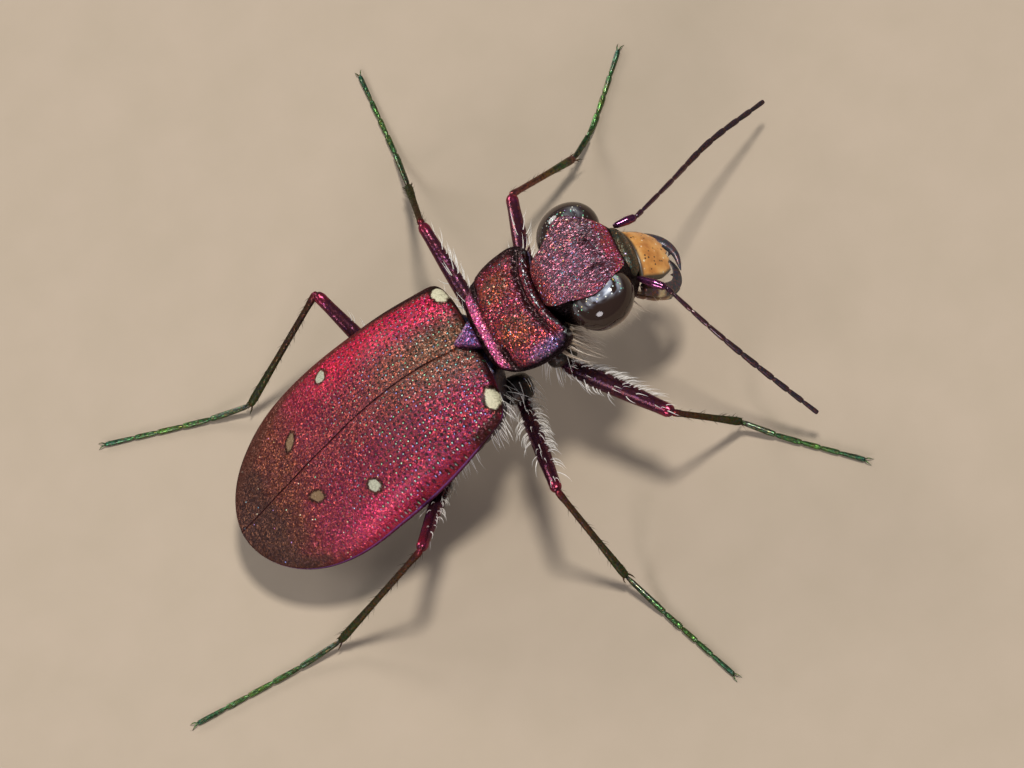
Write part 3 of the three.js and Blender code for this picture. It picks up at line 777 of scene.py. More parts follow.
SCUTELLUM = plain_metal(
    "Scutellum violet", (0.20, 0.07, 0.20), (0.40, 0.06, 0.16), (0.14, 0.16, 0.45), (0.03, 0.015, 0.03),
    Tilt=0.9, Dark_share=0.7, Glint_share=0.05, Cell=0.036,
)
UNDERSIDE = plain_metal(
    "Underside dark metal", (0.05, 0.03, 0.045), (0.09, 0.04, 0.03), (0.03, 0.04, 0.09),
    (0.015, 0.012, 0.012), roughness=0.4, coat=0.05, Tilt=0.3,
)
# The hips are painted darker than the underside: painted shade.
HIP_SHADE_METAL = plain_metal(
    "Hip brown black", (0.022, 0.015, 0.014), (0.06, 0.025, 0.015), (0.02, 0.026, 0.02), (0.01, 0.008, 0.008),
    metallic=0.6, roughness=0.45, coat=0.0, Tilt=0.4,
)
CLYPEUS = plain_metal(
    "Face plate dark", (0.09, 0.08, 0.05), (0.15, 0.07, 0.035), (0.05, 0.08, 0.07), (0.012, 0.012, 0.01),
    roughness=0.45, coat=0.05, Glint_share=0.1, Cell=0.035,
)
print("plain metals:", ", ".join(metal.name for metal in (SCUTELLUM, UNDERSIDE, HIP_SHADE_METAL, CLYPEUS)))

# %% [markdown]
# The limbs are plainer metal that changes along each joint, from coppery purple to green. It could be one
# material a joint, but the change is gradual, so a value stored along every limb drives it. Feet are the
# brightest green, feelers start purple and turn grey, and jaws and palps have a pale stretch.

# %% Colour along a limb
def stops_along(n, value):
    """A plain number as it is, or (share, number) stops as a signal along the limb."""
    if isinstance(value, tuple):
        return n.ramp(n.field("along"), *((at, (v, v, v)) for at, v in value))
    return value


def limb_metal(
    name, stops, metallic=0.85, roughness=0.3, coat=0.3, edge=(0.6, 0.5, 0.5), specular=0.5, **values
):
    """Metal whose colour runs along the limb through (share, colour) stops; values go to the grain."""
    n = Finish(name)
    hue = n.ramp(n.field("along"), *stops)
    values = {"Tilt": 0.45, "Dark": (0.012, 0.010, 0.012), "Dark_share": 0.35, "Glint_share": 0.0, **values}
    warm, cool = n.mix(0.35, hue, (0.25, 0.05, 0.03)), n.mix(0.25, hue, (0.10, 0.03, 0.16))
    grain = grain_node(n, n.spots(), Main=hue, Warm=warm, Cool=cool, **values)
    return n.done(
        Base_Color=grain["Color"], Metallic=metallic, Roughness=stops_along(n, roughness),
        Coat_Weight=stops_along(n, coat), Coat_Roughness=0.12, Specular_IOR_Level=specular,
        Specular_Tint=edge, Normal=grain["Normal"],
    )


# %% Leg metals
FEMUR = limb_metal(
    "Thigh plum metal",
    ((0, (0.03, 0.018, 0.024)), (0.4, (0.085, 0.028, 0.043)), (0.88, (0.12, 0.028, 0.05)),
     (0.96, (0.34, 0.03, 0.07)), (1, (0.05, 0.015, 0.025))),
    roughness=0.27, coat=0.15, Tilt=0.2, Dark_share=0.2,
)
TIBIA = limb_metal(
    "Shin bronze metal",
    ((0, (0.20, 0.025, 0.04)), (0.08, (0.09, 0.05, 0.03)), (0.5, (0.075, 0.065, 0.03)),
     (1, (0.05, 0.09, 0.035))),
    roughness=0.38, coat=0.0, edge=(0.30, 0.34, 0.2), specular=0.3,
)
COPPER_TIBIA = limb_metal(
    "Shin copper metal",
    ((0, (0.20, 0.05, 0.05)), (0.5, (0.16, 0.08, 0.02)), (0.8, (0.05, 0.14, 0.04)), (1, (0.20, 0.05, 0.04))),
)
TARSUS = limb_metal(
    "Foot emerald metal",
    ((0, (0.05, 0.08, 0.035)), (0.3, (0.05, 0.16, 0.05)), (0.6, (0.10, 0.24, 0.045)),
     (1, (0.04, 0.18, 0.09))),
    Dark_share=0.6, Tilt=0.35,
)
print("leg metals:", ", ".join(metal.name for metal in (FEMUR, TIBIA, COPPER_TIBIA, TARSUS)))

# %% Feeler, jaw and palp metals
SCAPE = limb_metal(
    "Feeler root purple", ((0, (0.07, 0.02, 0.06)), (0.5, (0.20, 0.045, 0.14)), (1, (0.09, 0.025, 0.07))),
    roughness=0.16, Tilt=0.12,
)
FLAGELLUM = limb_metal(
    "Feeler slate",
    ((0, (0.045, 0.016, 0.026)), (0.36, (0.05, 0.022, 0.022)), (0.46, (0.028, 0.025, 0.024)),
     (1, (0.032, 0.033, 0.034))),
    metallic=0.6, roughness=((0, 0.2), (0.34, 0.24), (0.46, 0.45), (1, 0.5)), coat=((0.34, 0.7), (0.46, 0)),
    Tilt=0.2, Cell=0.03,
)
JAW_METAL = limb_metal(
    "Jaw dark metal",
    ((0, (0.05, 0.035, 0.025)), (0.17, (0.07, 0.05, 0.03)), (0.21, (0.55, 0.44, 0.24)),
     (0.26, (0.45, 0.36, 0.20)), (0.3, (0.05, 0.06, 0.06)), (1, (0.035, 0.045, 0.055))),
    metallic=0.3, roughness=0.34, coat=0.1, Tilt=0.12, Dark_share=0.2,
)
PALP = limb_metal(
    "Palp pale",
    ((0, (0.10, 0.06, 0.035)), (0.45, (0.22, 0.14, 0.07)), (0.7, (0.42, 0.30, 0.16)),
     (0.78, (0.05, 0.09, 0.08)), (1, (0.04, 0.08, 0.07))),
    metallic=0.15, roughness=0.35, Tilt=0.1, Dark_share=0.05,
)
print("other limb metals:", ", ".join(metal.name for metal in (SCAPE, FLAGELLUM, JAW_METAL, PALP)))

# %% [markdown]
# Lip and eyes are not metal. The lip is ochre horn with dark and light specks, and a little of its light
# comes from within. The eyes are smooth dark domes of fine lenses. A mirror would show only the plain room
# here, so their pale stripes of mirrored sky near the head and their bright specks are a painted reflection
# and painted highlights in the colour, and the lighter lower edge is painted light shining through.

# %% Lip finish
def labrum_finish():
    n = Finish("Upper lip ochre")
    where = n.spots()
    soft, gathered = n.noise(where, 2.6, 3.0), n.step(n.noise(where, 1.4), 0.42, 0.58)
    specks = n.cells(where, 11.0)
    dark_pick, light_pick, _ = n.split(specks["Color"])
    speck = n.step(specks["Distance"], 0.42, 0.2) * (dark_pick + gathered * 0.4 > 0.78)
    colour = n.paint(
        n.ramp(soft, (0.3, (0.46, 0.17, 0.035)), (0.5, (0.68, 0.31, 0.075)), (0.75, (0.80, 0.46, 0.16))),
        (speck, n.mix(light_pick > 0.8, (0.07, 0.035, 0.015), (0.85, 0.72, 0.5))),
        (n.step(n.field("rim"), 0.86, 0.97), (0.05, 0.035, 0.02)),
    )
    return n.done(
        Base_Color=colour, Roughness=0.42, Coat_Weight=0.25, Coat_Roughness=0.2, Subsurface_Weight=0.12,
        Subsurface_Radius=(0.6 * MM, 0.3 * MM, 0.1 * MM), Normal=n.bump(soft, 0.4, 0.02),
    )


LABRUM = labrum_finish()
print("lip finish:", len(LABRUM.node_tree.nodes), "nodes")

# %% Eye finish
def eye_finish():
    n = Finish("Eye dark brown")
    where, near_head = n.spots(), n.field("inner")
    # The lighter band at the lower edge is painted light shining through the eye.
    base = n.ramp(
        n.field("edge"), (0.0, (0.026, 0.014, 0.010)), (0.4, (0.036, 0.019, 0.013)),
        (0.6, (0.13, 0.07, 0.042)), (0.8, (0.24, 0.135, 0.075)), (1.0, (0.07, 0.038, 0.022)),
    )
    # Painted reflection: pale stripes of sky near the head.
    stripes = n.noise(n.vector("MULTIPLY", where, (1.2, 1.2, 7.0)), 1.4)
    sky_reflection = n.ramp(stripes, (0.35, (0.20, 0.13, 0.10)), (0.48, (0.45, 0.52, 0.68)), (0.62, (0.85, 0.90, 0.95)))
    sheen = near_head**3.4 * n.step(stripes, 0.38, 0.6)
    # Painted highlights: bright specks near the head.
    specks = n.cells(where, 17.0)
    chance, hue_pick, _ = n.split(specks["Color"])
    speck = n.step(specks["Distance"], 0.4, 0.22) * (chance > 0.72) * n.step(near_head, 0.2, 0.6)
    speck_glint_hue = n.ramp(
        hue_pick, (0.0, (0.9, 0.7, 0.15)), (0.3, (0.95, 1.0, 0.95)), (0.55, (0.2, 0.75, 0.8)),
        (0.8, (0.3, 0.8, 0.4)), (1.0, (0.6, 0.3, 0.9)),
    )
    lenses = n.cells(where, 38.0, randomness=0.15)["Distance"]
    return n.done(
        Base_Color=n.paint(base, (sheen * 0.95, sky_reflection), (speck, speck_glint_hue)), Roughness=0.08, Coat_Weight=0.15,
        Coat_Roughness=0.04, Specular_IOR_Level=0.3, Normal=n.bump(lenses, 0.05, 0.004),
    )


EYE = eye_finish()
print("eye finish:", len(EYE.node_tree.nodes), "nodes")

# %% Hair finishes
def hair_finish(name, root, tip, gloss=0.6):
    n = Finish(name)
    return n.done(
        Base_Color=n.ramp(n.field("along"), (0.0, root), (1.0, tip)), Roughness=0.4, Specular_IOR_Level=gloss
    )


WHITE_HAIR = hair_finish("Hair white", (0.78, 0.74, 0.68), (0.95, 0.94, 0.9))
BROWN_HAIR = hair_finish("Hair pale brown", (0.30, 0.22, 0.15), (0.66, 0.56, 0.44))
DARK_HAIR = hair_finish("Bristle dark", (0.03, 0.024, 0.018), (0.08, 0.065, 0.045), gloss=0.15)
print("materials:", len(bpy.data.materials))

# %% [markdown]
# Now the wing cases, each a thin curved shell. A bent sheet would have no edge, so the loft runs a whole
# loop: up from the middle seam, out over the flank, in under the side edge and back along the inner face.
# That gives a real rim and a real thickness.

# %% Outline of the wing cases
ELYTRA = {
    "front": 0.48, "rear": -7.95, "widest_at": -4.2, "half_width": 2.7, "shoulder": 2.3,
    "shoulder_from": -0.3, "roundness": 2.4, "wall": 0.13, "seam_gap": 0.004, "lip": 0.1,
}
BACK_LINE = (
    (0.6, -0.08), (0, 0.03), (-1.4, 0.25), (-2.5, 0.14), (-3.6, -0.1), (-4.7, -0.41), (-5.9, -0.75),
    (-7.1, -1.13), (-7.95, -1.43),
)
EDGE_LINE = ((0.6, -0.66), (0, -0.76), (-1, -0.98), (-2, -1.2), (-4.2, -1.45), (-6.5, -1.62), (-7.95, -1.5))


def elytra_half_width(forward):
    """Narrowing smoothly to the tip behind, and squarely rounded at the shoulder in front."""
    widest_at, widest, start = ELYTRA["widest_at"], ELYTRA["half_width"], ELYTRA["shoulder_from"]
    behind = np.clip((widest_at - forward) / (widest_at - ELYTRA["rear"]), 0, 1)
    ahead = np.clip((forward - widest_at) / -widest_at, 0, None)
    shoulder = np.clip((forward - start) / (ELYTRA["front"] - start), 0, 1)
    outline = widest - (widest - ELYTRA["shoulder"]) * ahead**2.2
    rear_part = widest * (1 - behind**2.3) ** 0.53
    return np.where(forward < widest_at, rear_part, outline * (1 - shoulder**5) ** 0.4)


# %% Relief and skin of the wing cases
def wing_case_relief(forward, out, side):
    """A groove and a bead along the seam, the shoulder's bump, a dent inside it, and slight unevenness."""
    return (
        -0.008 * hump(out, 0.0, 0.025) + 0.018 * hump(out, 0.11, 0.05)
        + 0.07 * hump(forward, -0.25, 0.42) * hump(out, 1.62, 0.4)
        - 0.06 * hump(forward, 0.0, 0.4) * hump(out, 1.0, 0.35)
        + 0.012 * ripple(forward, out * side, 1.3, 4)
    )


def wing_case(label, side):
    gap, lip, squareness = ELYTRA["seam_gap"], ELYTRA["lip"], ELYTRA["roundness"]
    sweep, forward = stations(ELYTRA["front"], ELYTRA["rear"], 220)
    shrink = np.sin(sweep) ** 0.35
    width = np.maximum(elytra_half_width(forward), 0.02)
    edge = along(EDGE_LINE, forward)
    rise = (along(BACK_LINE, forward) - edge) * shrink

    over = np.linspace(math.pi / 2, 0, 110)[None]
    across, upward = bulge(np.cos(over), squareness), bulge(np.sin(over), squareness)
    out_top = gap + (width - gap) * across
    up_top = edge + rise * upward + np.clip(rise / 0.5, 0, 1) * wing_case_relief(forward, out_top, side)
    out_top = out_top + 0.02 * hump(across, 1.0, 0.06)

    under = np.linspace(0, math.pi / 2, 26)[None]
    wall = np.minimum(ELYTRA["wall"], 0.4 * np.maximum(width, 0.05))
    inner_share = np.clip((width - 2.2 * wall) / width, 0.05, 1)
    out_in = gap + (width - gap) * inner_share * bulge(np.cos(under), squareness)
    inner_rise = np.maximum(rise + lip * shrink - wall, 0.01)
    up_in = edge - lip * shrink + inner_rise * bulge(np.sin(under), squareness)

    out, up = np.concatenate([out_top, out_in], 1), np.concatenate([up_top, up_in], 1)
    margin = np.concatenate([1 - upward + 0 * out_top, np.ones_like(out_in)], 1)
    forward = forward + 0 * out
    ends = body([[ELYTRA["front"], side * 0.02, edge[0, 0]], [ELYTRA["rear"], side * 0.02, edge[-1, 0]]])
    rows, plan = body(np.stack([forward, side * out, up], -1)), np.stack([forward, side * out], -1)
    piece = skin(f"wing_case_{label}", rows, ends, plan, margin=margin)
    place(piece, WING_CASE, "wing_case", f"elytron_{label}")


for label, side in SIDES.items():
    wing_case(label, side)

# %% [markdown]
# The scutellum is the small violet triangle between the wing cases' bases. An extruded outline would have a
# flat top, so rings shrink from the outline to the middle, below and above, and make a plate with a soft
# crown. The same maker serves the upper lip.

# %% Scutellum
def crowned_plate(name, outline, crown, thickness, to_row, rings=14):
    """A plate from an outline of (x, y) points: flat below, crowned above; to_row turns (x, y, height)."""
    outline = np.asarray(outline, float)
    centre = outline.mean(0)
    shares = np.concatenate([np.linspace(0.1, 1, rings), np.linspace(1, 0.06, rings)])[:, None, None]
    heights = np.concatenate([np.full(rings, -thickness), crown(np.linspace(1, 0.06, rings))])[:, None, None]
    flat = centre + (outline - centre) * shares
    rows = to_row(np.concatenate([flat, heights + 0 * flat[..., :1]], -1))
    ends = to_row(np.array([[*centre, -thickness], [*centre, float(crown(np.array(0.0)))]]))
    return skin(name, rows, ends, flat, rim=shares[..., 0])


def cut_corners(corners, per_side=14, cut=0.04):
    """A closed outline of points along the sides, each side stopping a little short of its corners."""
    corners = np.asarray(corners, float)
    shares = np.linspace(cut, 1 - cut, per_side)
    return [a + (b - a) * t for a, b in zip(corners, np.roll(corners, -1, 0)) for t in shares]


def scutellum_to_row(points):
    forward, out, height = np.moveaxis(points, -1, 0)
    return body(np.stack([forward, out, height + 0.02 - 0.09 * (forward / 0.66) ** 2], -1))


triangle = cut_corners([(0.06, 0), (0.7, 0.42), (0.7, -0.42)])
scutellum = crowned_plate("scutellum_plate", triangle, lambda s: 0.05 * (1 - s**2.5), 0.35, scutellum_to_row)
place(scutellum, SCUTELLUM, "scutellum", "scutellum")

# %% [markdown]
# The neck shield is one ring: crowned above, with a collar and a deep groove in front, a raised rim and a
# groove behind with a pit at each end, a faint middle line and two soft bosses. They could be sculpted, but
# the two sides would differ, so each is one term of the relief, a smooth bump or trough across the plan.

# %% Neck shield
SHIELD_WIDTHS = ((0.66, 1.2), (1.0, 1.45), (1.4, 1.6), (2.0, 1.74), (2.5, 1.76), (2.74, 1.62))
SHIELD_BOSS = {"out": 0.72, "forward": 1.75}


def shield_grooves(forward, out):
    """How deep in the front groove, the rear groove, the rear pits and the middle line a point lies."""
    side = np.abs(out)
    front_line = 2.44 - 0.01 * side**2 + 0.02 * ripple(out, forward, 0.8, 3)
    rear_line = 1.10 + 0.05 * side**2 + 0.02 * ripple(out, forward, 0.7, 5)
    front = hump(forward, front_line, 0.075) * (0.35 + 0.65 * smoothstep(1.6, 1.1, side))
    rear = hump(forward, rear_line, 0.07) * (0.35 + 0.65 * smoothstep(0.3, 1.1, side))
    pit = hump(side, 1.02, 0.17) * hump(forward, 1.16, 0.14)
    middle = hump(out + 0.02 * ripple(forward, out, 0.5, 8), 0, 0.03)
    middle = middle * smoothstep(1.1, 1.3, forward) * smoothstep(2.35, 2.2, forward)
    return front, rear, pit, middle


def shield_relief(forward, out, upward):
    front, rear, pit, middle = shield_grooves(forward, out)
    boss = hump(np.abs(out), SHIELD_BOSS["out"], 0.5) * hump(forward, SHIELD_BOSS["forward"], 0.42)
    collar, rear_rim = hump(forward, 2.645, 0.045), hump(forward, 0.86, 0.1)
    uneven = ripple(forward, out, 0.45, 11) * smoothstep(1.0, 1.3, forward) * smoothstep(2.4, 2.2, forward)
    depth = -0.11 * front - 0.09 * rear - 0.10 * pit - 0.03 * middle
    height = depth + 0.05 * collar + 0.03 * rear_rim + 0.07 * boss + 0.012 * uneven
    return smoothstep(0.0, 0.35, upward) * height


# Where the shield's colour gets the painted shade of its grooves.
def shield_groove_mask(forward, out, height):
    front, rear, pit, middle = shield_grooves(forward, out)
    return np.clip(front + rear + pit + 0.5 * middle, 0, 1) * smoothstep(-1.0, -0.5, height)


shield = plate_shell(
    "neck_shield", 200, 170, front=2.74, rear=0.66, half_width=SHIELD_WIDTHS, rim=-0.46, under=-2.3,
    top=lambda f: 0.02 - 0.1 * ((f - 1.7) / 1.05) ** 2, roundness=2.1, under_roundness=1.4, ending=0.18,
    sweep_back=lambda f, r: (0.17 * np.clip(np.abs(r), 0, 1.3) ** 2 - 0.08) * smoothstep(1.5, 2.6, f),
    relief=shield_relief, groove=shield_groove_mask,
)
place(shield, SHIELD, "shield", "prothorax")

# %% [markdown]
# The head has a flat top that flares and rises into a sharp ridge over each eye, with two shallow hollows
# behind the forehead's edge. It could be sculpted from a sphere, but its sections are simple: a line over
# the top, one down the cheek and one round the throat, with their corners softened.

# %% Lines of the head
HEAD = {"front": 5.06, "rear": 2.66, "rim": -0.9}
HEAD_RIDGE_OUT = (
    (2.66, 0.40), (2.74, 0.58), (2.84, 0.70), (2.98, 0.80), (3.1, 0.85), (3.37, 0.92), (3.8, 1.17),
    (4.1, 1.29), (4.35, 1.28), (4.6, 1.16), (4.85, 0.99), (5.06, 0.85),
)
HEAD_RIDGE_UP = (
    (2.66, -0.16), (2.74, -0.10), (2.84, -0.05), (3.37, 0.0), (3.8, 0.08), (4.1, 0.135), (4.4, 0.08),
    (4.65, -0.05), (4.85, -0.22), (5.06, -0.5),
)
HEAD_TOPS = (
    (2.66, -0.14), (2.78, -0.07), (2.95, -0.03), (3.4, -0.02), (4.2, -0.07), (4.6, -0.15), (4.8, -0.27),
    (5.06, -0.6),
)
HEAD_SIDES = ((2.66, 0.7), (2.85, 0.95), (3.2, 1.1), (3.6, 1.15), (4.1, 1.2), (4.6, 1.12), (5.06, 0.9))
HEAD_UNDERS = ((2.66, -1.9), (3.6, -2.3), (4.4, -2.35), (5.06, -2.0))


# %% Relief of the head
def head_dips(forward, out):
    side = np.abs(out)
    outer, inner = hump(side, 0.42, 0.15), 0.5 * hump(side, 0.1, 0.09)
    return outer * hump(forward, 4.5, 0.22) + inner * hump(forward, 4.66, 0.1)


def head_relief(forward, out):
    crown, brow = hump(np.abs(out), 0, 0.5) * hump(forward, 3.5, 0.6), hump(forward, 4.84, 0.07)
    uneven, lines = ripple(forward, out, 0.4, 21), ripple(forward * 0.5, out, 0.12, 22)
    return -0.07 * head_dips(forward, out) + 0.02 * crown + 0.03 * brow + 0.009 * uneven + 0.005 * lines


# %% Head
def softened(ring, times=3):
    """A closed ring of sections with its corners rounded off."""
    for _ in range(times):
        ring = (np.roll(ring, 1, 1) + 2 * ring + np.roll(ring, -1, 1)) / 4
    return ring


def mirrored(half, sign):
    """A closed ring from the half that runs down one side."""
    return np.concatenate([half, sign * half[:, -2:0:-1]], 1)


def head_capsule():
    top_points, rim = 64, HEAD["rim"]
    sweep, forward = stations(HEAD["front"], HEAD["rear"], 150)
    ridge, ridge_up = along(HEAD_RIDGE_OUT, forward), along(HEAD_RIDGE_UP, forward)
    top, side, under = along(HEAD_TOPS, forward), along(HEAD_SIDES, forward), along(HEAD_UNDERS, forward)
    t = np.linspace(0, 1, top_points)[None]
    plate = (ridge * t, top + (ridge_up - top) * t**1.7)
    t = np.linspace(0, 1, 26)[None, 1:]
    cheek = (ridge + (side - ridge) * t, ridge_up + (rim - ridge_up) * t)
    t = np.linspace(0, math.pi / 2, 36)[None, 1:]
    throat = (side * bulge(np.cos(t), 2.6), rim + (under - rim) * bulge(np.sin(t), 2.6))
    out, up = (np.concatenate([part[k] + 0 * forward for part in (plate, cheek, throat)], 1) for k in (0, 1))
    on_plate = (np.arange(out.shape[1]) < top_points) + 0 * out
    out, up = softened(mirrored(out, -1)), softened(mirrored(up, 1))
    on_plate = softened(mirrored(on_plate, 1), 2)
    shrink = np.sin(sweep) ** 0.16
    up = up + head_relief(forward + 0 * out, out) * on_plate
    out, up = out * shrink, rim + (up - rim) * shrink
    forward = forward + 0 * out
    ends = body([[HEAD["front"], 0, rim], [HEAD["rear"], 0, rim]])
    rows, plan = body(np.stack([forward, out, up], -1)), np.stack([forward, out], -1)
    # Where the head's colour gets the painted shade of its hollows.
    groove = np.clip(head_dips(forward, out), 0, 1) * on_plate
    return skin("head_capsule", rows, ends, plan, height=up, plate=on_plate, groove=groove)


place(head_capsule(), HEAD_METAL, "head", "head")

# %% [markdown]
# The eyes are large smooth domes that bulge out from under the ridges. They could be plain spheres, but a
# real one is longer than high and flatter towards the head. The grid's poles point out to the side and in
# to the head, and two stored values say where the painted reflection of pale stripes and the painted light
# of the lighter lower edge go.

# %% Eyes
EYE_SIZE = {
    "forward": 4.07, "out": 1.12, "up": -0.6, "length": 0.9, "width": 0.81, "above": 0.66, "below": 0.75,
    "sheen": {"left": 0.6, "right": 1},
}


def eye(label, side):
    size = EYE_SIZE
    sweep, turn = stations(0, 1, 90)[0], full_turn(120)
    outward, ahead, upward = np.cos(sweep), np.sin(sweep) * np.cos(turn), np.sin(sweep) * np.sin(turn)
    height = np.where(upward > 0, size["above"], size["below"]) * (1 - 0.4 * np.clip(-outward, 0, 1))
    forward = size["forward"] + size["length"] * ahead
    out = side * (size["out"] + size["width"] * outward) + 0 * ahead
    rows = body(np.stack([forward, out, size["up"] + height * upward], -1))
    ends = body([[size["forward"], side * (size["out"] + k * size["width"]), size["up"]] for k in (1, -1)])
    # Where the painted light of the lower edge and the painted reflection near the head go; the left eye has
    # less of the reflection.
    edge = smoothstep(0.0, 0.85, -upward + 0.25 * outward) + 0 * turn
    inner = smoothstep(0.68, 0.3, outward) * smoothstep(0.3, 0.7, upward)
    inner = inner * (1 - 0.5 * smoothstep(0.1, -0.5, ahead)) * size["sheen"][label]
    place(skin(f"eye_ball_{label}", rows, ends, edge=edge, inner=inner), EYE, "eye", f"eye_{label}")


for label, side in SIDES.items():
    eye(label, side)

# %% [markdown]
# Below the forehead come the dark face plate, the ochre upper lip with its toothed edge, the crossed jaws
# and two pairs of palps, the small feelers of the mouth. Each could be a box or a cone bent to shape, but
# the makers above already fit: the lip is a crowned plate, and the jaws are flattened limbs with teeth.

# %% Face and lip
face_plate = plate_shell(
    "face_plate", 72, 40, front=5.26, rear=4.66, half_width=0.78, top=-0.76, rim=-1.12, under=-1.46,
    roundness=2.6,
)
place(face_plate, CLYPEUS, "face_plate", "clypeus")

LIP = {"rear": (5.14, -1.32), "front": (5.62, -2.52), "half_width": 0.80, "start": 0.10}
lip_slope = np.subtract(LIP["front"], LIP["rear"])
lip_length = float(np.hypot(*lip_slope))
lip_down = lip_slope / lip_length
lip_face = np.array([-lip_down[1], lip_down[0]])


def lip_outline():
    """Across the toothed front edge from side to side, and back along the slightly bowed rear edge."""
    half, start, points = LIP["half_width"], LIP["start"], []
    for t in np.linspace(-1, 1, 61):
        teeth = 0.10 * np.cos(t * 3 * math.pi) ** 2 * (1 - abs(t)) ** 0.4
        points.append((t * half, start + (0.86 * (1 - abs(t) ** 6) ** 0.4 + teeth) * (lip_length - start)))
    for t in np.linspace(1, -1, 31)[1:-1]:
        points.append((t * half, start - 0.06 * (1 - t * t)))
    return points


def lip_to_row(points):
    out, down, height = np.moveaxis(points, -1, 0)
    bow = 0.10 * np.sin(np.clip(down / lip_length, 0, 1) * math.pi)
    lift = height + (0.26 * (1 - (out / LIP["half_width"]) ** 2) - 0.16 + bow)
    forward = LIP["rear"][0] + lip_down[0] * down + lip_face[0] * lift
    return body(np.stack([forward, out, LIP["rear"][1] + lip_down[1] * down + lip_face[1] * lift], -1))


lip = crowned_plate("upper_lip", lip_outline(), lambda s: 0.05 * (1 - s**6), 0.12, lip_to_row, rings=18)
place(lip, LABRUM, "lip", "labrum")

# %% Lines of the jaws and palps
JAW_LINES = {
    "left": (
        (4.78, 0.72, -2.05), (5.3, 0.74, -2.5), (5.62, 0.5, -2.76), (5.76, 0.08, -2.86), (5.68, -0.42, -2.92),
    ),
    "right": (
        (4.78, 0.74, -2.05), (5.1, 0.78, -2.6), (5.38, 0.62, -2.98), (5.5, 0.2, -3.14), (5.44, -0.26, -3.2),
    ),
}
JAW = ((0, 0.18), (0.22, 0.22), (0.45, 0.17), (0.7, 0.12), (0.9, 0.065), (1, 0.012))
TEETH = ((0.42, 0.16), (0.56, 0.22), (0.7, 0.16))
TOOTH = ((0, 0.075), (0.6, 0.045), (1, 0.006))
PALPS = {
    "long_palp": {
        "line": ((4.45, 0.62, -2.3), (4.8, 0.8, -2.74), (5.1, 0.84, -2.94), (5.38, 0.7, -3.04)),
        "joints": (0.2, 0.5, 0.72, 1), "radii": (0.07, 0.07, 0.07, 0.09), "steps": 90,
        "node": "maxillary_palp",
    },
    "short_palp": {
        "line": ((4.3, 0.3, -2.35), (4.5, 0.4, -2.9), (4.78, 0.55, -3.2), (5.02, 0.6, -3.36)),
        "joints": (0.3, 0.72, 1), "radii": (0.075, 0.09, 0.11), "steps": 80, "node": "labial_palp",
    },
}
SEGMENT = ((0, 0.62), (0.15, 0.85), (0.8, 1.0), (0.97, 0.9), (1, 0.6))


# %% Jaws and palps
def segmented(ends, radii, waist=0.55):
    """A profile of joints that swell towards their far ends, at these shares, and pinch between."""
    profile, start = [], 0.0
    for end, radius in zip(ends, radii):
        for t, share in SEGMENT:
            profile.append((start + (end - start) * t, radius * (share if 0 < t < 1 else waist)))
        start = end
    return [(min(place_on + i * 1e-6, 1.0), radius) for i, (place_on, radius) in enumerate(profile)]


def jaw(label, side):
    line = np.array(JAW_LINES[label]) * (1, side, 1)
    lying = {"flat": (1.0, 0.62), "upright": (0.55, 0, 0.83), "to_row": body}
    parts, fine = [limb(f"jaw_{label}", line, JAW, 28, 90, **lying)], smooth_line(line, 100)
    for share, length in TEETH:
        root = fine[int(share * 99)]
        tip = root + np.array([-0.75, -side * 0.55, 0.1]) * length * 1.3
        parts.append(limb(f"tooth_{label}", [root, tip], TOOTH, 14, 12, to_row=body))
    place(joined(f"jaw_{label}", parts), JAW_METAL, "jaw", f"mandible_{label}")


for label, side in SIDES.items():
    jaw(label, side)
    for name, palp in PALPS.items():
        line, profile = np.array(palp["line"]) * (1, side, 1), segmented(palp["joints"], palp["radii"])
        shape = limb(f"{name}_{label}", line, profile, 18, palp["steps"], to_row=body)
        place(shape, PALP, "palp", f"{palp['node']}_{label}")

# %% [markdown]
# The feelers have eleven joints: a stout root, then thin shiny ones, and dull grey ones out to the tip. One
# cylinder a joint would leave sharp steps, so the whole whip is one limb whose radius swells a little at
# the far end of each joint.

# %% Feelers
FEELERS = {
    "left": (
        (0.86, -5.22, 4.46), (0.9, -5.85, 4.25), (1.7, -7.0, 3.55), (2.8, -8.35, 2.5),
        (3.95, -10.05, 1.0),
    ),
    "right": (
        (-0.85, -5.15, 4.46), (-1.4, -5.7, 4.23), (-2.8, -6.25, 3.32), (-4.0, -6.85, 2.22),
        (-5.1, -7.48, 1.0),
    ),
}
FEELER_ROOT = ((0, 0.05), (0.12, 0.085), (0.6, 0.12), (0.9, 0.105), (1, 0.06))
FEELER_JOINTS = (0.045, 0.17, 0.28, 0.39, 0.5, 0.605, 0.705, 0.805, 0.9, 1.0)
FEELER_RADII = (0.075, 0.066, 0.072, 0.078, 0.086, 0.088, 0.086, 0.082, 0.077, 0.066)
for label, line in FEELERS.items():
    place(limb(f"feeler_root_{label}", line[:2], FEELER_ROOT, 24, 40), SCAPE, "scape", f"scape_{label}")
    whip = limb(f"feeler_{label}", line[1:], segmented(FEELER_JOINTS, FEELER_RADII, 0.62), 16, 420)
    place(whip, FLAGELLUM, "flagellum", f"flagellum_{label}")

# %% [markdown]
# The legs are long and thin: a hip, a small second joint, a thigh that tapers to the knee, a shin with two
# spurs, and a five-jointed foot with two claws. Six legs drawn one by one would differ by chance, so one
# maker takes each leg's knee, ankle and toe, which are where the frame's are.

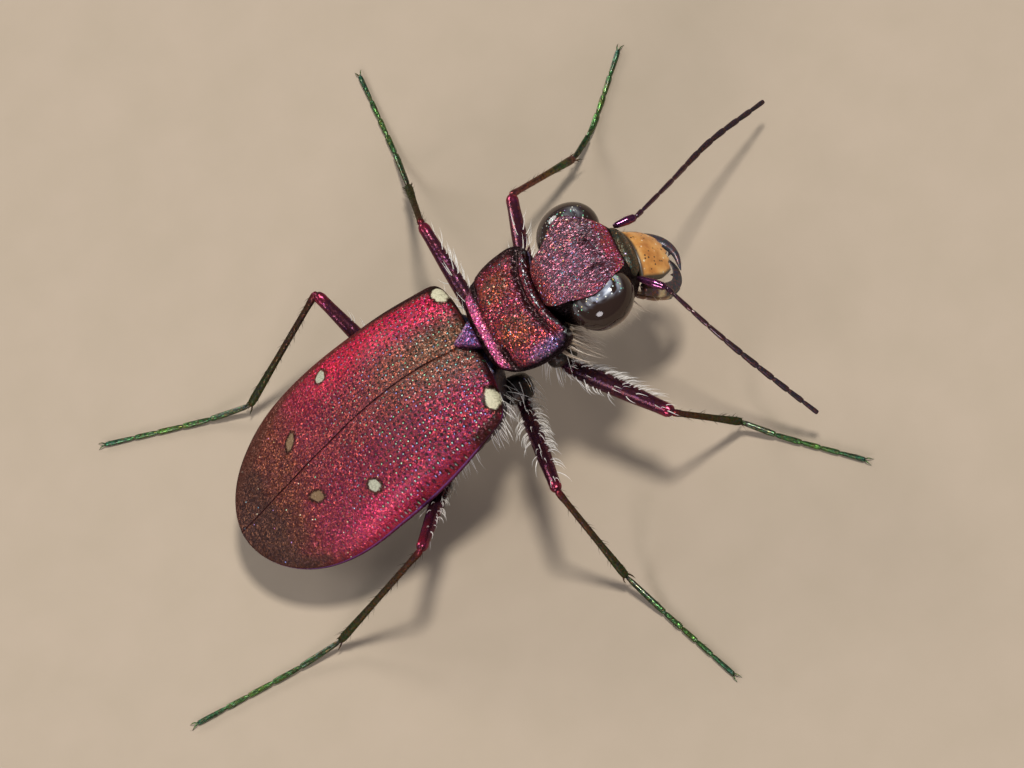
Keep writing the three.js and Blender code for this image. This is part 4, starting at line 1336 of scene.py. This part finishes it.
# %% Measures of the legs
COXA = {
    "front": {"forward": 1.9, "out": 1.15, "up": -2.24, "inner": 0.45},
    "middle": {"forward": 0.32, "out": 1.18, "up": -2.48, "inner": 0.5},
    "hind": {"forward": -2.36, "out": 1.27, "up": -2.76, "inner": 0.55},
}
LEGS = {
    "left_front": {"knee": (4.45, -3.05, 2.4), "ankle": (5.5, -4.85, 0.67), "toe": (8.1, -7.2)},
    "right_front": {"knee": (-4.0, -4.25, 2.85), "ankle": (-3.9, -5.55, 0.46), "toe": (-6.5, -7.95)},
    "left_middle": {"knee": (4.85, -0.6, 2.75), "ankle": (7.35, -0.55, 0.56), "toe": (11.4, -0.7)},
    "right_middle": {"knee": (-4.65, -0.65, 3.4), "ankle": (-6.3, -1.0, 0.51), "toe": (-10.15, -2.3)},
    "left_hind": {"knee": (4.25, 2.7, 3.3), "ankle": (3.95, 5.9, 0.4), "toe": (5.3, 9.9)},
    "right_hind": {"knee": (-4.15, 3.25, 3.35), "ankle": (-3.65, 6.55, 0.34), "toe": (-3.55, 10.95)},
}
FOOT_JOINTS = {
    "front": (0.27, 0.48, 0.63, 0.79, 1), "middle": (0.34, 0.5, 0.64, 0.79, 1),
    "hind": (0.29, 0.48, 0.65, 0.8, 1),
}
SECOND = ((0, 0.12), (0.3, 0.19), (0.8, 0.18), (1, 0.1))
THIGH = (
    (0, 0.12), (0.06, 0.19), (0.25, 0.225), (0.6, 0.2), (0.85, 0.165), (0.95, 0.165), (0.985, 0.125),
    (1, 0.05),
)
FULL_THIGHS = {"right_front": 1.16, "left_front": 1.05}
SHIN = (
    (0, 0.05), (0.02, 0.095), (0.07, 0.10), (0.14, 0.085), (0.6, 0.09), (0.93, 0.115), (0.985, 0.10),
    (1, 0.04),
)
SPUR, CLAW = ((0, 0.028), (0.5, 0.02), (1, 0.004)), ((0, 0.025), (0.5, 0.016), (1, 0.004))
FOOT_RADII = (0.085, 0.08, 0.075, 0.072, 0.068)
SOLE, CLAW_TIP, LOWEST_SPUR = 0.07, 0.012, 0.04


# %% Hips and thighs
def on_plan(forward, out, up):
    """A body point in millimetres on the floor plan, as the legs are given."""
    return body([forward, out, up]) / MM - SHIFT


def hip(name, pair):
    """The hip as a ball-ended egg, and the place of the joint at its outer end."""
    side, at = SIDES[name.split("_")[0]], COXA[pair]
    joint = on_plan(at["forward"], side * at["out"], at["up"])
    root = on_plan(at["forward"] + 0.15, side * at["inner"], at["up"] + 0.35)
    egg = [(t, 0.06 + 0.36 * math.sqrt(max(1 - (2 * t - 0.98) ** 4, 0))) for t in np.linspace(0, 1, 30)]
    place(limb(f"hip_{name}", [root, joint], egg, 40, 60), HIP_SHADE_METAL, "hip", f"{name}_coxa")
    return joint


def thigh(name, joint, knee):
    way, full = unit(knee - joint), FULL_THIGHS.get(name, 1)
    profile = [(share, radius * full) for share, radius in THIGH]
    long = limb(f"thigh_{name}", [joint + way * 0.2, knee], profile, 28, 90, flat=(1.0, 0.88))
    second = limb(f"second_{name}", [joint - way * 0.1, joint + way * 0.42], SECOND, 24, 24)
    place(joined(f"thigh_{name}", [long, second]), FEMUR, "thigh", f"{name}_femur")


# %% Shins
def shin(name, knee, ankle):
    way = unit(ankle - knee)
    sideways = unit(np.cross((0, 0, 1), way))
    parts = [limb(f"shin_{name}", [knee - way * 0.03, ankle], SHIN, 22, 80)]
    for turn, length in ((1, 0.32), (-1, 0.24)):
        start = ankle - way * 0.08 + sideways * turn * 0.06
        tip = start + (way * 0.88 + sideways * turn * 0.3) * length
        tip[2] = max(tip[2], LOWEST_SPUR)
        middle = (start + tip) / 2 + sideways * turn * 0.02
        parts.append(limb(f"spur_{name}", [start, middle, tip], SPUR, 10, 16))
    finish = COPPER_TIBIA if name == "left_front" else TIBIA
    place(joined(f"shin_{name}", parts), finish, "shin", f"{name}_tibia")


# %% Feet
def foot_line(ankle, toe):
    """From the ankle down to the floor and along it to the last joint."""
    points = [ankle]
    for share in (0.1, 0.3, 0.55, 0.8):
        point, rest = ankle + (toe - ankle) * share, 0.10 - 0.03 * share
        point[2] = rest + (ankle[2] - rest) * max(1 - share / 0.4, 0) ** 1.5
        points.append(point)
    return points + [toe]


def foot(name, pair, ankle, toe):
    line = foot_line(ankle, np.array([*toe, SOLE]))
    fine = smooth_line(line, 50)
    ahead = unit((fine[-1] - fine[-3]) * (1, 1, 0))
    aside = np.array([-ahead[1], ahead[0], 0])
    parts = [limb(f"foot_{name}", line, segmented(FOOT_JOINTS[pair], FOOT_RADII), 16, 260)]
    for turn in (1, -1):
        start = fine[-1] - ahead * 0.03
        middle = start + ahead * 0.12 + aside * turn * 0.055 + np.array([0, 0, 0.025])
        tip = start + ahead * 0.24 + aside * turn * 0.09
        tip[2] = CLAW_TIP
        parts.append(limb(f"claw_{name}", [start, middle, tip], CLAW, 10, 16))
    place(joined(f"foot_{name}", parts), TARSUS, "foot", f"{name}_tarsus")


# %% All six legs
JOINTS = {}
for name, leg in LEGS.items():
    pair, knee, ankle = name.split("_")[1], np.array(leg["knee"], float), np.array(leg["ankle"], float)
    JOINTS[name] = {"joint": hip(name, pair), "knee": knee, "ankle": ankle}
    thigh(name, JOINTS[name]["joint"], knee)
    shin(name, knee, ankle)
    foot(name, pair, ankle, leg["toe"])

# %% [markdown]
# Breast and belly close the body from below. The belly shows the edges of its rings, the breast the seam
# between its plates. Separate rings would hardly show under the wing cases, so both are single plates with
# those edges in their relief.

# %% Breast and belly
BELLY_LINE = (
    (0.6, -1.9), (0.2, -2.45), (-1.2, -2.85), (-2.6, -2.9), (-4.4, -2.75), (-6.2, -2.3), (-7.4, -1.75),
)
BREAST_FRONT, BREAST_REAR, BELLY_FRONT, BELLY_REAR, WAIST = 0.65, -2.6, -2.5, -7.35, 1.3
RING_EDGES = (-3.5, -4.4, -5.3, -6.1, -6.75)


def trunk_half_width(forward):
    under_case = np.maximum(elytra_half_width(np.minimum(forward, -0.7)) - 0.42, 0.3)
    return under_case + (WAIST - under_case) * smoothstep(-0.5, BREAST_FRONT, forward)


def belly_relief(forward, out, upward):
    return smoothstep(-0.1, -0.5, upward) * sum(0.05 * hump(forward, at, 0.05) for at in RING_EDGES)


def breast_relief(forward, out, upward):
    return smoothstep(-0.1, -0.5, upward) * (0.05 * hump(out, 0, 0.05) + 0.06 * hump(forward, -1.0, 0.06))


def trunk(name, steps, front, rear, relief):
    return plate_shell(
        name, 96, steps, front, rear, trunk_half_width, top=lambda f: along(BACK_LINE, f) - 0.45,
        rim=lambda f: along(EDGE_LINE, f) - 0.12, under=BELLY_LINE, roundness=2.3, ending=0.3, relief=relief,
    )


place(trunk("belly", 90, BELLY_FRONT, BELLY_REAR, belly_relief), UNDERSIDE, "body_under", "abdomen")
place(trunk("breast", 70, BREAST_FRONT, BREAST_REAR, breast_relief), UNDERSIDE, "body_under", "thorax")

# %% [markdown]
# Hair and bristles repeat by the hundred. Placing them one by one would take for ever, so Geometry Nodes
# scatter them over the finished skins: points on the faces, weighted by a value stored on the skin, each
# with one tapered, bent hair. The result becomes a plain mesh, and each hair gets a small patch of its map.

# %% Bristle tree
HAIR_SIDES, HAIR_STEPS = 4, 5


def bristle_tree():
    kinds = {
        "Geometry": "Geometry", "Density": "Float", "Length": "Float", "Thickness": "Float", "Bend": "Float",
        "Lay": "Vector", "Stand": "Float", "Spread": "Float", "Seed": "Int", "Material": "Material",
    }
    inputs = [(label, kind, None) for label, kind in kinds.items()]
    n, given, out = new_tree("Bristles", "GeometryNodeTree", inputs, [("Geometry", "Geometry")])

    def stored(geometry, name, kind, value):
        settings, values = {"data_type": kind, "domain": "POINT"}, {"Geometry": geometry, "Value": value}
        return n.add("GeometryNodeStoreNamedAttribute", settings, Name=name, **values)[0]

    length, seed = given["Length"], given["Seed"]
    weight = n.add("GeometryNodeInputNamedAttribute", {"data_type": "FLOAT"}, Name="hairy")["Attribute"]
    over = {"Mesh": given["Geometry"], "Density": weight * given["Density"], "Seed": seed}
    scatter = n.add("GeometryNodeDistributePointsOnFaces", (), **over)
    anywhere = ((-1, -1, -1), (1, 1, 1))
    drawn = n.add("FunctionNodeRandomValue", {"data_type": "FLOAT_VECTOR"}, *anywhere, Seed=seed)[0]
    way = given["Lay"] + scatter["Normal"] * given["Stand"] + drawn * given["Spread"]
    upright = n.add("FunctionNodeAlignRotationToVector", {"axis": "Z"}, Vector=way)[0]
    leaning = {"axis": "X", "pivot_axis": "Z"}
    turn = n.add("FunctionNodeAlignRotationToVector", leaning, Rotation=upright, Vector=given["Lay"])[0]
    cone = n.add(
        "GeometryNodeMeshCone", {"fill_type": "TRIANGLE_FAN"}, Vertices=HAIR_SIDES, Side_Segments=HAIR_STEPS,
        Radius_Top=0.0, Radius_Bottom=given["Thickness"], Depth=length,
    )["Mesh"]
    x, _, z = n.split(n.add("GeometryNodeInputPosition")[0])
    height = z / length
    swing = n.add("ShaderNodeCombineXYZ", (), height * height * (given["Bend"] * length))[0]
    hair = n.add("GeometryNodeSetPosition", (), Geometry=cone, Offset=swing)[0]
    hair = stored(hair, "along", "FLOAT", height)
    across = n.math("MULTIPLY_ADD", x / given["Thickness"], 0.5, 0.5)
    hair = stored(hair, "patch", "FLOAT_VECTOR", n.add("ShaderNodeCombineXYZ", (), across, height)[0])
    size = n.add("FunctionNodeRandomValue", {"data_type": "FLOAT"}, None, None, 0.6, 1.1, Seed=seed + 7)[1]
    plant = {"Points": scatter["Points"], "Instance": hair, "Rotation": turn, "Scale": size}
    planted = n.add("GeometryNodeInstanceOnPoints", (), **plant)[0]
    whole = n.add("GeometryNodeRealizeInstances", (), planted)[0]
    n.feed(out[0], n.add("GeometryNodeSetMaterial", (), Geometry=whole, Material=given["Material"])[0])
    return n.tree


BRISTLES = bristle_tree()
sockets = BRISTLES.interface.items_tree
BRISTLE_SOCKETS = {socket.name: socket.identifier for socket in sockets if socket.in_out == "INPUT"}
print("bristle tree:", len(BRISTLES.nodes), "nodes")

# %% Hair on a skin
HAIR_VALUES = {"Length": 0.5, "Thickness": 0.016, "Bend": 0.3, "Stand": 0.5, "Spread": 0.3}
HAIR_UNITS = {"Length": MM, "Thickness": MM, "Density": 1e6}
MAP_SHARE, MAP_START, PATCH_SIZE = 0.97, 0.01, 0.003


def hairs(name, host, rule, material, **values):
    """Bristles over a finished skin, densest where rule(points, normals) is 1; sizes are in millimetres."""
    mesh = bpy.data.objects[host].data.copy()
    points, normals = read(mesh.vertices, "co", 3) / MM, read(mesh.vertices, "normal", 3)
    store(mesh, "hairy", np.clip(rule(points, normals), 0, 1))
    piece = add_object(name, mesh)
    modifier = piece.modifiers.new("Bristles", "NODES")
    modifier.node_group = BRISTLES
    for key, value in {**HAIR_VALUES, **values, "Material": material}.items():
        modifier[BRISTLE_SOCKETS[key]] = value * HAIR_UNITS[key] if key in HAIR_UNITS else value
    piece.update_tag()
    drawn = bpy.data.meshes.new_from_object(piece.evaluated_get(bpy.context.evaluated_depsgraph_get()))
    piece.modifiers.clear()
    piece.data = drawn
    bpy.data.meshes.remove(mesh)
    return piece


# %% Hair map and coats
def hair_map(piece, tile, tiles):
    """The OFBake map: each hair a small patch at its root's place on the plan of its own skin."""
    mesh = piece.data
    root = read(mesh.attributes["Plan"].data, "vector", 2, np.float32)
    patch = read(mesh.attributes["patch"].data, "vector", 3, np.float32)[:, :2]
    low, high = root.min(0), root.max(0)
    share = (root - low) / np.maximum(high - low, 1e-6) * MAP_SHARE + MAP_START
    spots = (share + np.array([tile % tiles, tile // tiles])) / tiles + PATCH_SIZE * patch
    corners = spots[read(mesh.loops, "vertex_index", kind=int)]
    mesh.uv_layers.new(name="OFBake").data.foreach_set("uv", corners.ravel().astype(np.float32))
    for extra in ("Plan", "patch", "hairy"):
        if extra in mesh.attributes:
            mesh.attributes.remove(mesh.attributes[extra])


def coat(name, slot, material, patches):
    """Several patches of hair as one piece, each with its own tile of the map."""
    tiles = math.ceil(math.sqrt(len(patches)))
    for tile, patch in enumerate(patches):
        hair_map(patch, tile, tiles)
    place(joined(name, patches), material, slot)


# %% [markdown]
# Each thigh has a comb of white bristles along its front, a thinner one behind and a few above and below,
# thickest near the body. The shins have shorter, darker ones all round, and the feet some on their sides.
# They could stand at random, but on the animal they lie towards the tip of the limb, so each comb does too.

# %% Combs of the thighs
COMB_DENSITY = 150
THICK_COMBS = {
    "right_front": 1.6, "right_middle": 0.85, "right_hind": 0.8,
    "left_front": 0.45, "left_middle": 0.7, "left_hind": 0.5,
}
LONG_COMB = "right_middle"


def facing(normals, direction, low=0.75, high=0.95):
    """1 where the skin faces a direction, eased to 0 away from it."""
    return smoothstep(low, high, normals @ unit(np.asarray(direction, float)))


def thigh_combs(name, way, index):
    joint, knee = JOINTS[name]["joint"], JOINTS[name]["knee"]
    frontward = unit(np.cross(way, (0, 0, 1))) * SIDES[name.split("_")[0]]
    behind_share = 0.6 if name == LONG_COMB else 0.25

    def combs(points, normals):
        share = (points - SHIFT - joint) @ way / np.linalg.norm(knee - joint)
        ahead, behind = facing(normals, frontward + (0, 0, 0.35)), facing(normals, (0, 0, 0.35) - frontward)
        rows = ahead * smoothstep(0.95, 0.35, share) + behind_share * behind * smoothstep(0.65, 0.25, share)
        return rows + 0.12 * facing(normals, (0, 0, -1)) + 0.10 * facing(normals, (0, 0, 1))

    return hairs(
        f"hair_thigh_{name}", f"thigh_{name}", combs, WHITE_HAIR, Density=COMB_DENSITY * THICK_COMBS[name],
        Length=0.56 if name == LONG_COMB else 0.42, Thickness=0.019, Lay=tuple(way * 0.75), Stand=0.95,
        Spread=0.16, Bend=0.5, Seed=11 + index,
    )


# %% Bristles on every leg
def everywhere(points, normals):
    return 0.6 + 0 * points[:, 0]


def foot_sides(points, normals):
    return 0.6 * smoothstep(0.5, 0.2, np.abs(normals[:, 2]))


thighs, shins, feet = [], [], []
for index, (name, leg) in enumerate(JOINTS.items()):
    thighs.append(thigh_combs(name, unit(leg["knee"] - leg["joint"]), index))
    shins.append(hairs(
        f"hair_shin_{name}", f"shin_{name}", everywhere, DARK_HAIR, Density=30, Length=0.26, Thickness=0.009,
        Lay=tuple(unit(leg["ankle"] - leg["knee"])), Stand=0.6, Spread=0.2, Bend=0.1, Seed=31 + index,
    ))
    feet.append(hairs(
        f"hair_foot_{name}", f"foot_{name}", foot_sides, DARK_HAIR, Density=24, Length=0.15, Thickness=0.007,
        Lay=tuple(unit(np.array([*LEGS[name]["toe"], 0]) - leg["ankle"])), Stand=0.35, Spread=0.2, Bend=0.1,
        Seed=51 + index,
    ))
coat("bristles_thighs", "thigh", WHITE_HAIR, thighs)
coat("bristles_shins", "shin", DARK_HAIR, shins)
coat("bristles_feet", "foot", DARK_HAIR, feet)

# %% [markdown]
# Longer pale hair fans out from the throat and the front corners of the shield, hangs from the sides of the
# breast, lines the hips and stands in a short fringe under the edge of the wing cases. One even fur would
# hide the body, so a rule for each place says where on its skin the hair grows.

# %% Where the body hair grows
def low_sides(points, normals):
    forward, _, _ = to_body(points)
    sides = smoothstep(0.25, -0.2, normals[:, 2]) * smoothstep(0.3, 0.7, np.abs(normals[:, 0]))
    return sides * (0.15 + 0.85 * smoothstep(-1.0, 0.1, forward))


def shoulder_gap(points, normals):
    forward, _, up = to_body(points)
    front = smoothstep(-0.5, 0.2, forward) * smoothstep(0.3, 0.7, np.abs(normals[:, 0]))
    return front * smoothstep(-1.1, -1.5, up)


def shield_corners(points, normals):
    forward, out, up = to_body(points)
    return smoothstep(2.0, 2.5, forward) * smoothstep(-0.75, -1.2, up) * smoothstep(0.5, 1.0, np.abs(out))


def downward(points, normals):
    return smoothstep(0.1, -0.5, normals[:, 2])


def around_hip(points, normals):
    return 0.45 + 0.55 * downward(points, normals)


# %% Body hair
def fans(name, host, rule, lay, **values):
    """The same hair on both sides, each side with its own lay."""

    def on_side(side):
        return lambda points, normals: rule(points, normals) * (to_body(points)[1] * side > 0)

    return [
        hairs(f"{name}_{label}", host, on_side(side), WHITE_HAIR, Lay=(lay[0] * side, *lay[1:]), **values)
        for label, side in SIDES.items()
    ]


coat(
    "hair_breast", "body_under", WHITE_HAIR,
    fans("side", "breast", low_sides, (0.7, 0.1, -0.5), Density=26, Length=0.52, Spread=0.38, Seed=71)
    + fans("gap", "breast", shoulder_gap, (0.8, -0.25, 0.1), Density=20, Length=0.8, Spread=0.5, Seed=75)
    + fans("fringe", "belly", low_sides, (0.9, 0.5, 0.0), Density=60, Length=0.32, Stand=0.4, Seed=72),
)
corner_hair = {"Density": 55, "Length": 1.0, "Thickness": 0.017, "Stand": 0.3, "Spread": 0.38, "Seed": 74}
throat_hair = {"Density": 9, "Length": 0.75, "Stand": 0.4, "Spread": 0.35, "Bend": 0.35, "Seed": 73}
coat(
    "hair_throat", "head", BROWN_HAIR,
    fans("throat", "head_capsule", downward, (0.5, -0.3, -0.5), **throat_hair)
    + fans("corner", "neck_shield", shield_corners, (0.9, -0.75, -0.35), **corner_hair),
)
hip_hair = []
for index, name in enumerate(JOINTS):
    lay = (0.6 * SIDES[name.split("_")[0]], 0.2, -0.4)
    values = {"Density": 30, "Length": 0.6, "Stand": 0.6, "Lay": lay, "Seed": 81 + index}
    hip_hair.append(hairs(f"hair_hip_{name}", f"hip_{name}", around_hip, WHITE_HAIR, **values))
coat("hair_hips", "hip", WHITE_HAIR, hip_hair)

# %% [markdown]
# The beetle stands on a plain pale floor. Small bright lamps would put hard sparks on a shell that is all
# mirror, so one soft lamp stands high over it, with three fainter ones behind and beside. The camera looks
# down from the front and its right side, from far away for such a small thing, as a close-up lens does.

# %% Floor and lamps
FLOOR_HALF, LAMP_AWAY = 0.6, 0.5


def flat_floor():
    mesh = bpy.data.meshes.new("floor")
    corners = [(x * FLOOR_HALF, y * FLOOR_HALF, 0) for x, y in ((-1, -1), (1, -1), (1, 1), (-1, 1))]
    mesh.from_pydata(corners, [], [(0, 1, 2, 3)])
    n = Finish("Floor pale")
    tint = n.ramp(n.noise(n.spots(), 0.6, 4.0), (0.3, (0.41, 0.335, 0.25)), (0.7, (0.43, 0.35, 0.265)))
    mesh.materials.append(n.done(Base_Color=tint, Roughness=0.8))
    add_object("floor", mesh)


def lamp(name, kind, toward_light, **settings):
    data = bpy.data.lights.new(name, kind)
    for key, value in settings.items():
        setattr(data, key, value)
    way = Vector(toward_light).normalized()
    made = add_object(name, data)
    made.location = way * LAMP_AWAY
    made.rotation_euler = way.to_track_quat("Z", "Y").to_euler()


flat_floor()
lamp("key_lamp", "SUN", (0.03, -0.33, 0.91), energy=2.5, angle=math.radians(10), color=(1.0, 0.96, 0.9))
lamp("rear_lamp", "AREA", (0.1, 0.6, 0.75), energy=0.4, shape="DISK", size=0.2, color=(0.95, 0.97, 1.0))
lamp("left_lamp", "AREA", (0.85, 0.35, 0.4), energy=0.8, shape="DISK", size=0.16, color=(1.0, 0.95, 0.9))
lamp("right_lamp", "AREA", (-0.7, 0.5, 0.42), energy=0.9, shape="DISK", size=0.16, color=(1.0, 0.93, 0.97))
world = bpy.data.worlds.new("Studio")
bpy.context.scene.world = world
world.use_nodes = True
world.node_tree.nodes["Background"].inputs["Color"].default_value = (0.80, 0.86, 1.0, 1.0)
world.node_tree.nodes["Background"].inputs["Strength"].default_value = 0.16

# %% Camera
CAMERA_RIGHT = np.array((-0.39450, -0.86803, -0.30148))
CAMERA_UP = np.array((0.77316, -0.49086, 0.40160))
CAMERA_BACK = np.array((-0.49659, -0.07466, 0.86477))
CAMERA_AWAY, AIM_RIGHT, AIM_UP = 330, 0.19, 0.887

camera_data = bpy.data.cameras.new("camera")
camera_data.lens, camera_data.sensor_width = 437.3, 36.0
camera_data.clip_start, camera_data.clip_end = 0.01, 3.0
camera = add_object("camera", camera_data)
seat = standing(CAMERA_AWAY * CAMERA_BACK + AIM_RIGHT * CAMERA_RIGHT + AIM_UP * CAMERA_UP)
turn = Matrix([list(row) for row in np.stack([CAMERA_RIGHT, CAMERA_UP, CAMERA_BACK], 1)]).to_4x4()
camera.matrix_world = Matrix.Translation(Vector(seat)) @ turn
bpy.context.scene.camera = camera
bpy.context.scene.view_settings.view_transform = "Standard"
print("camera seat in mm:", (seat / MM).round(1))
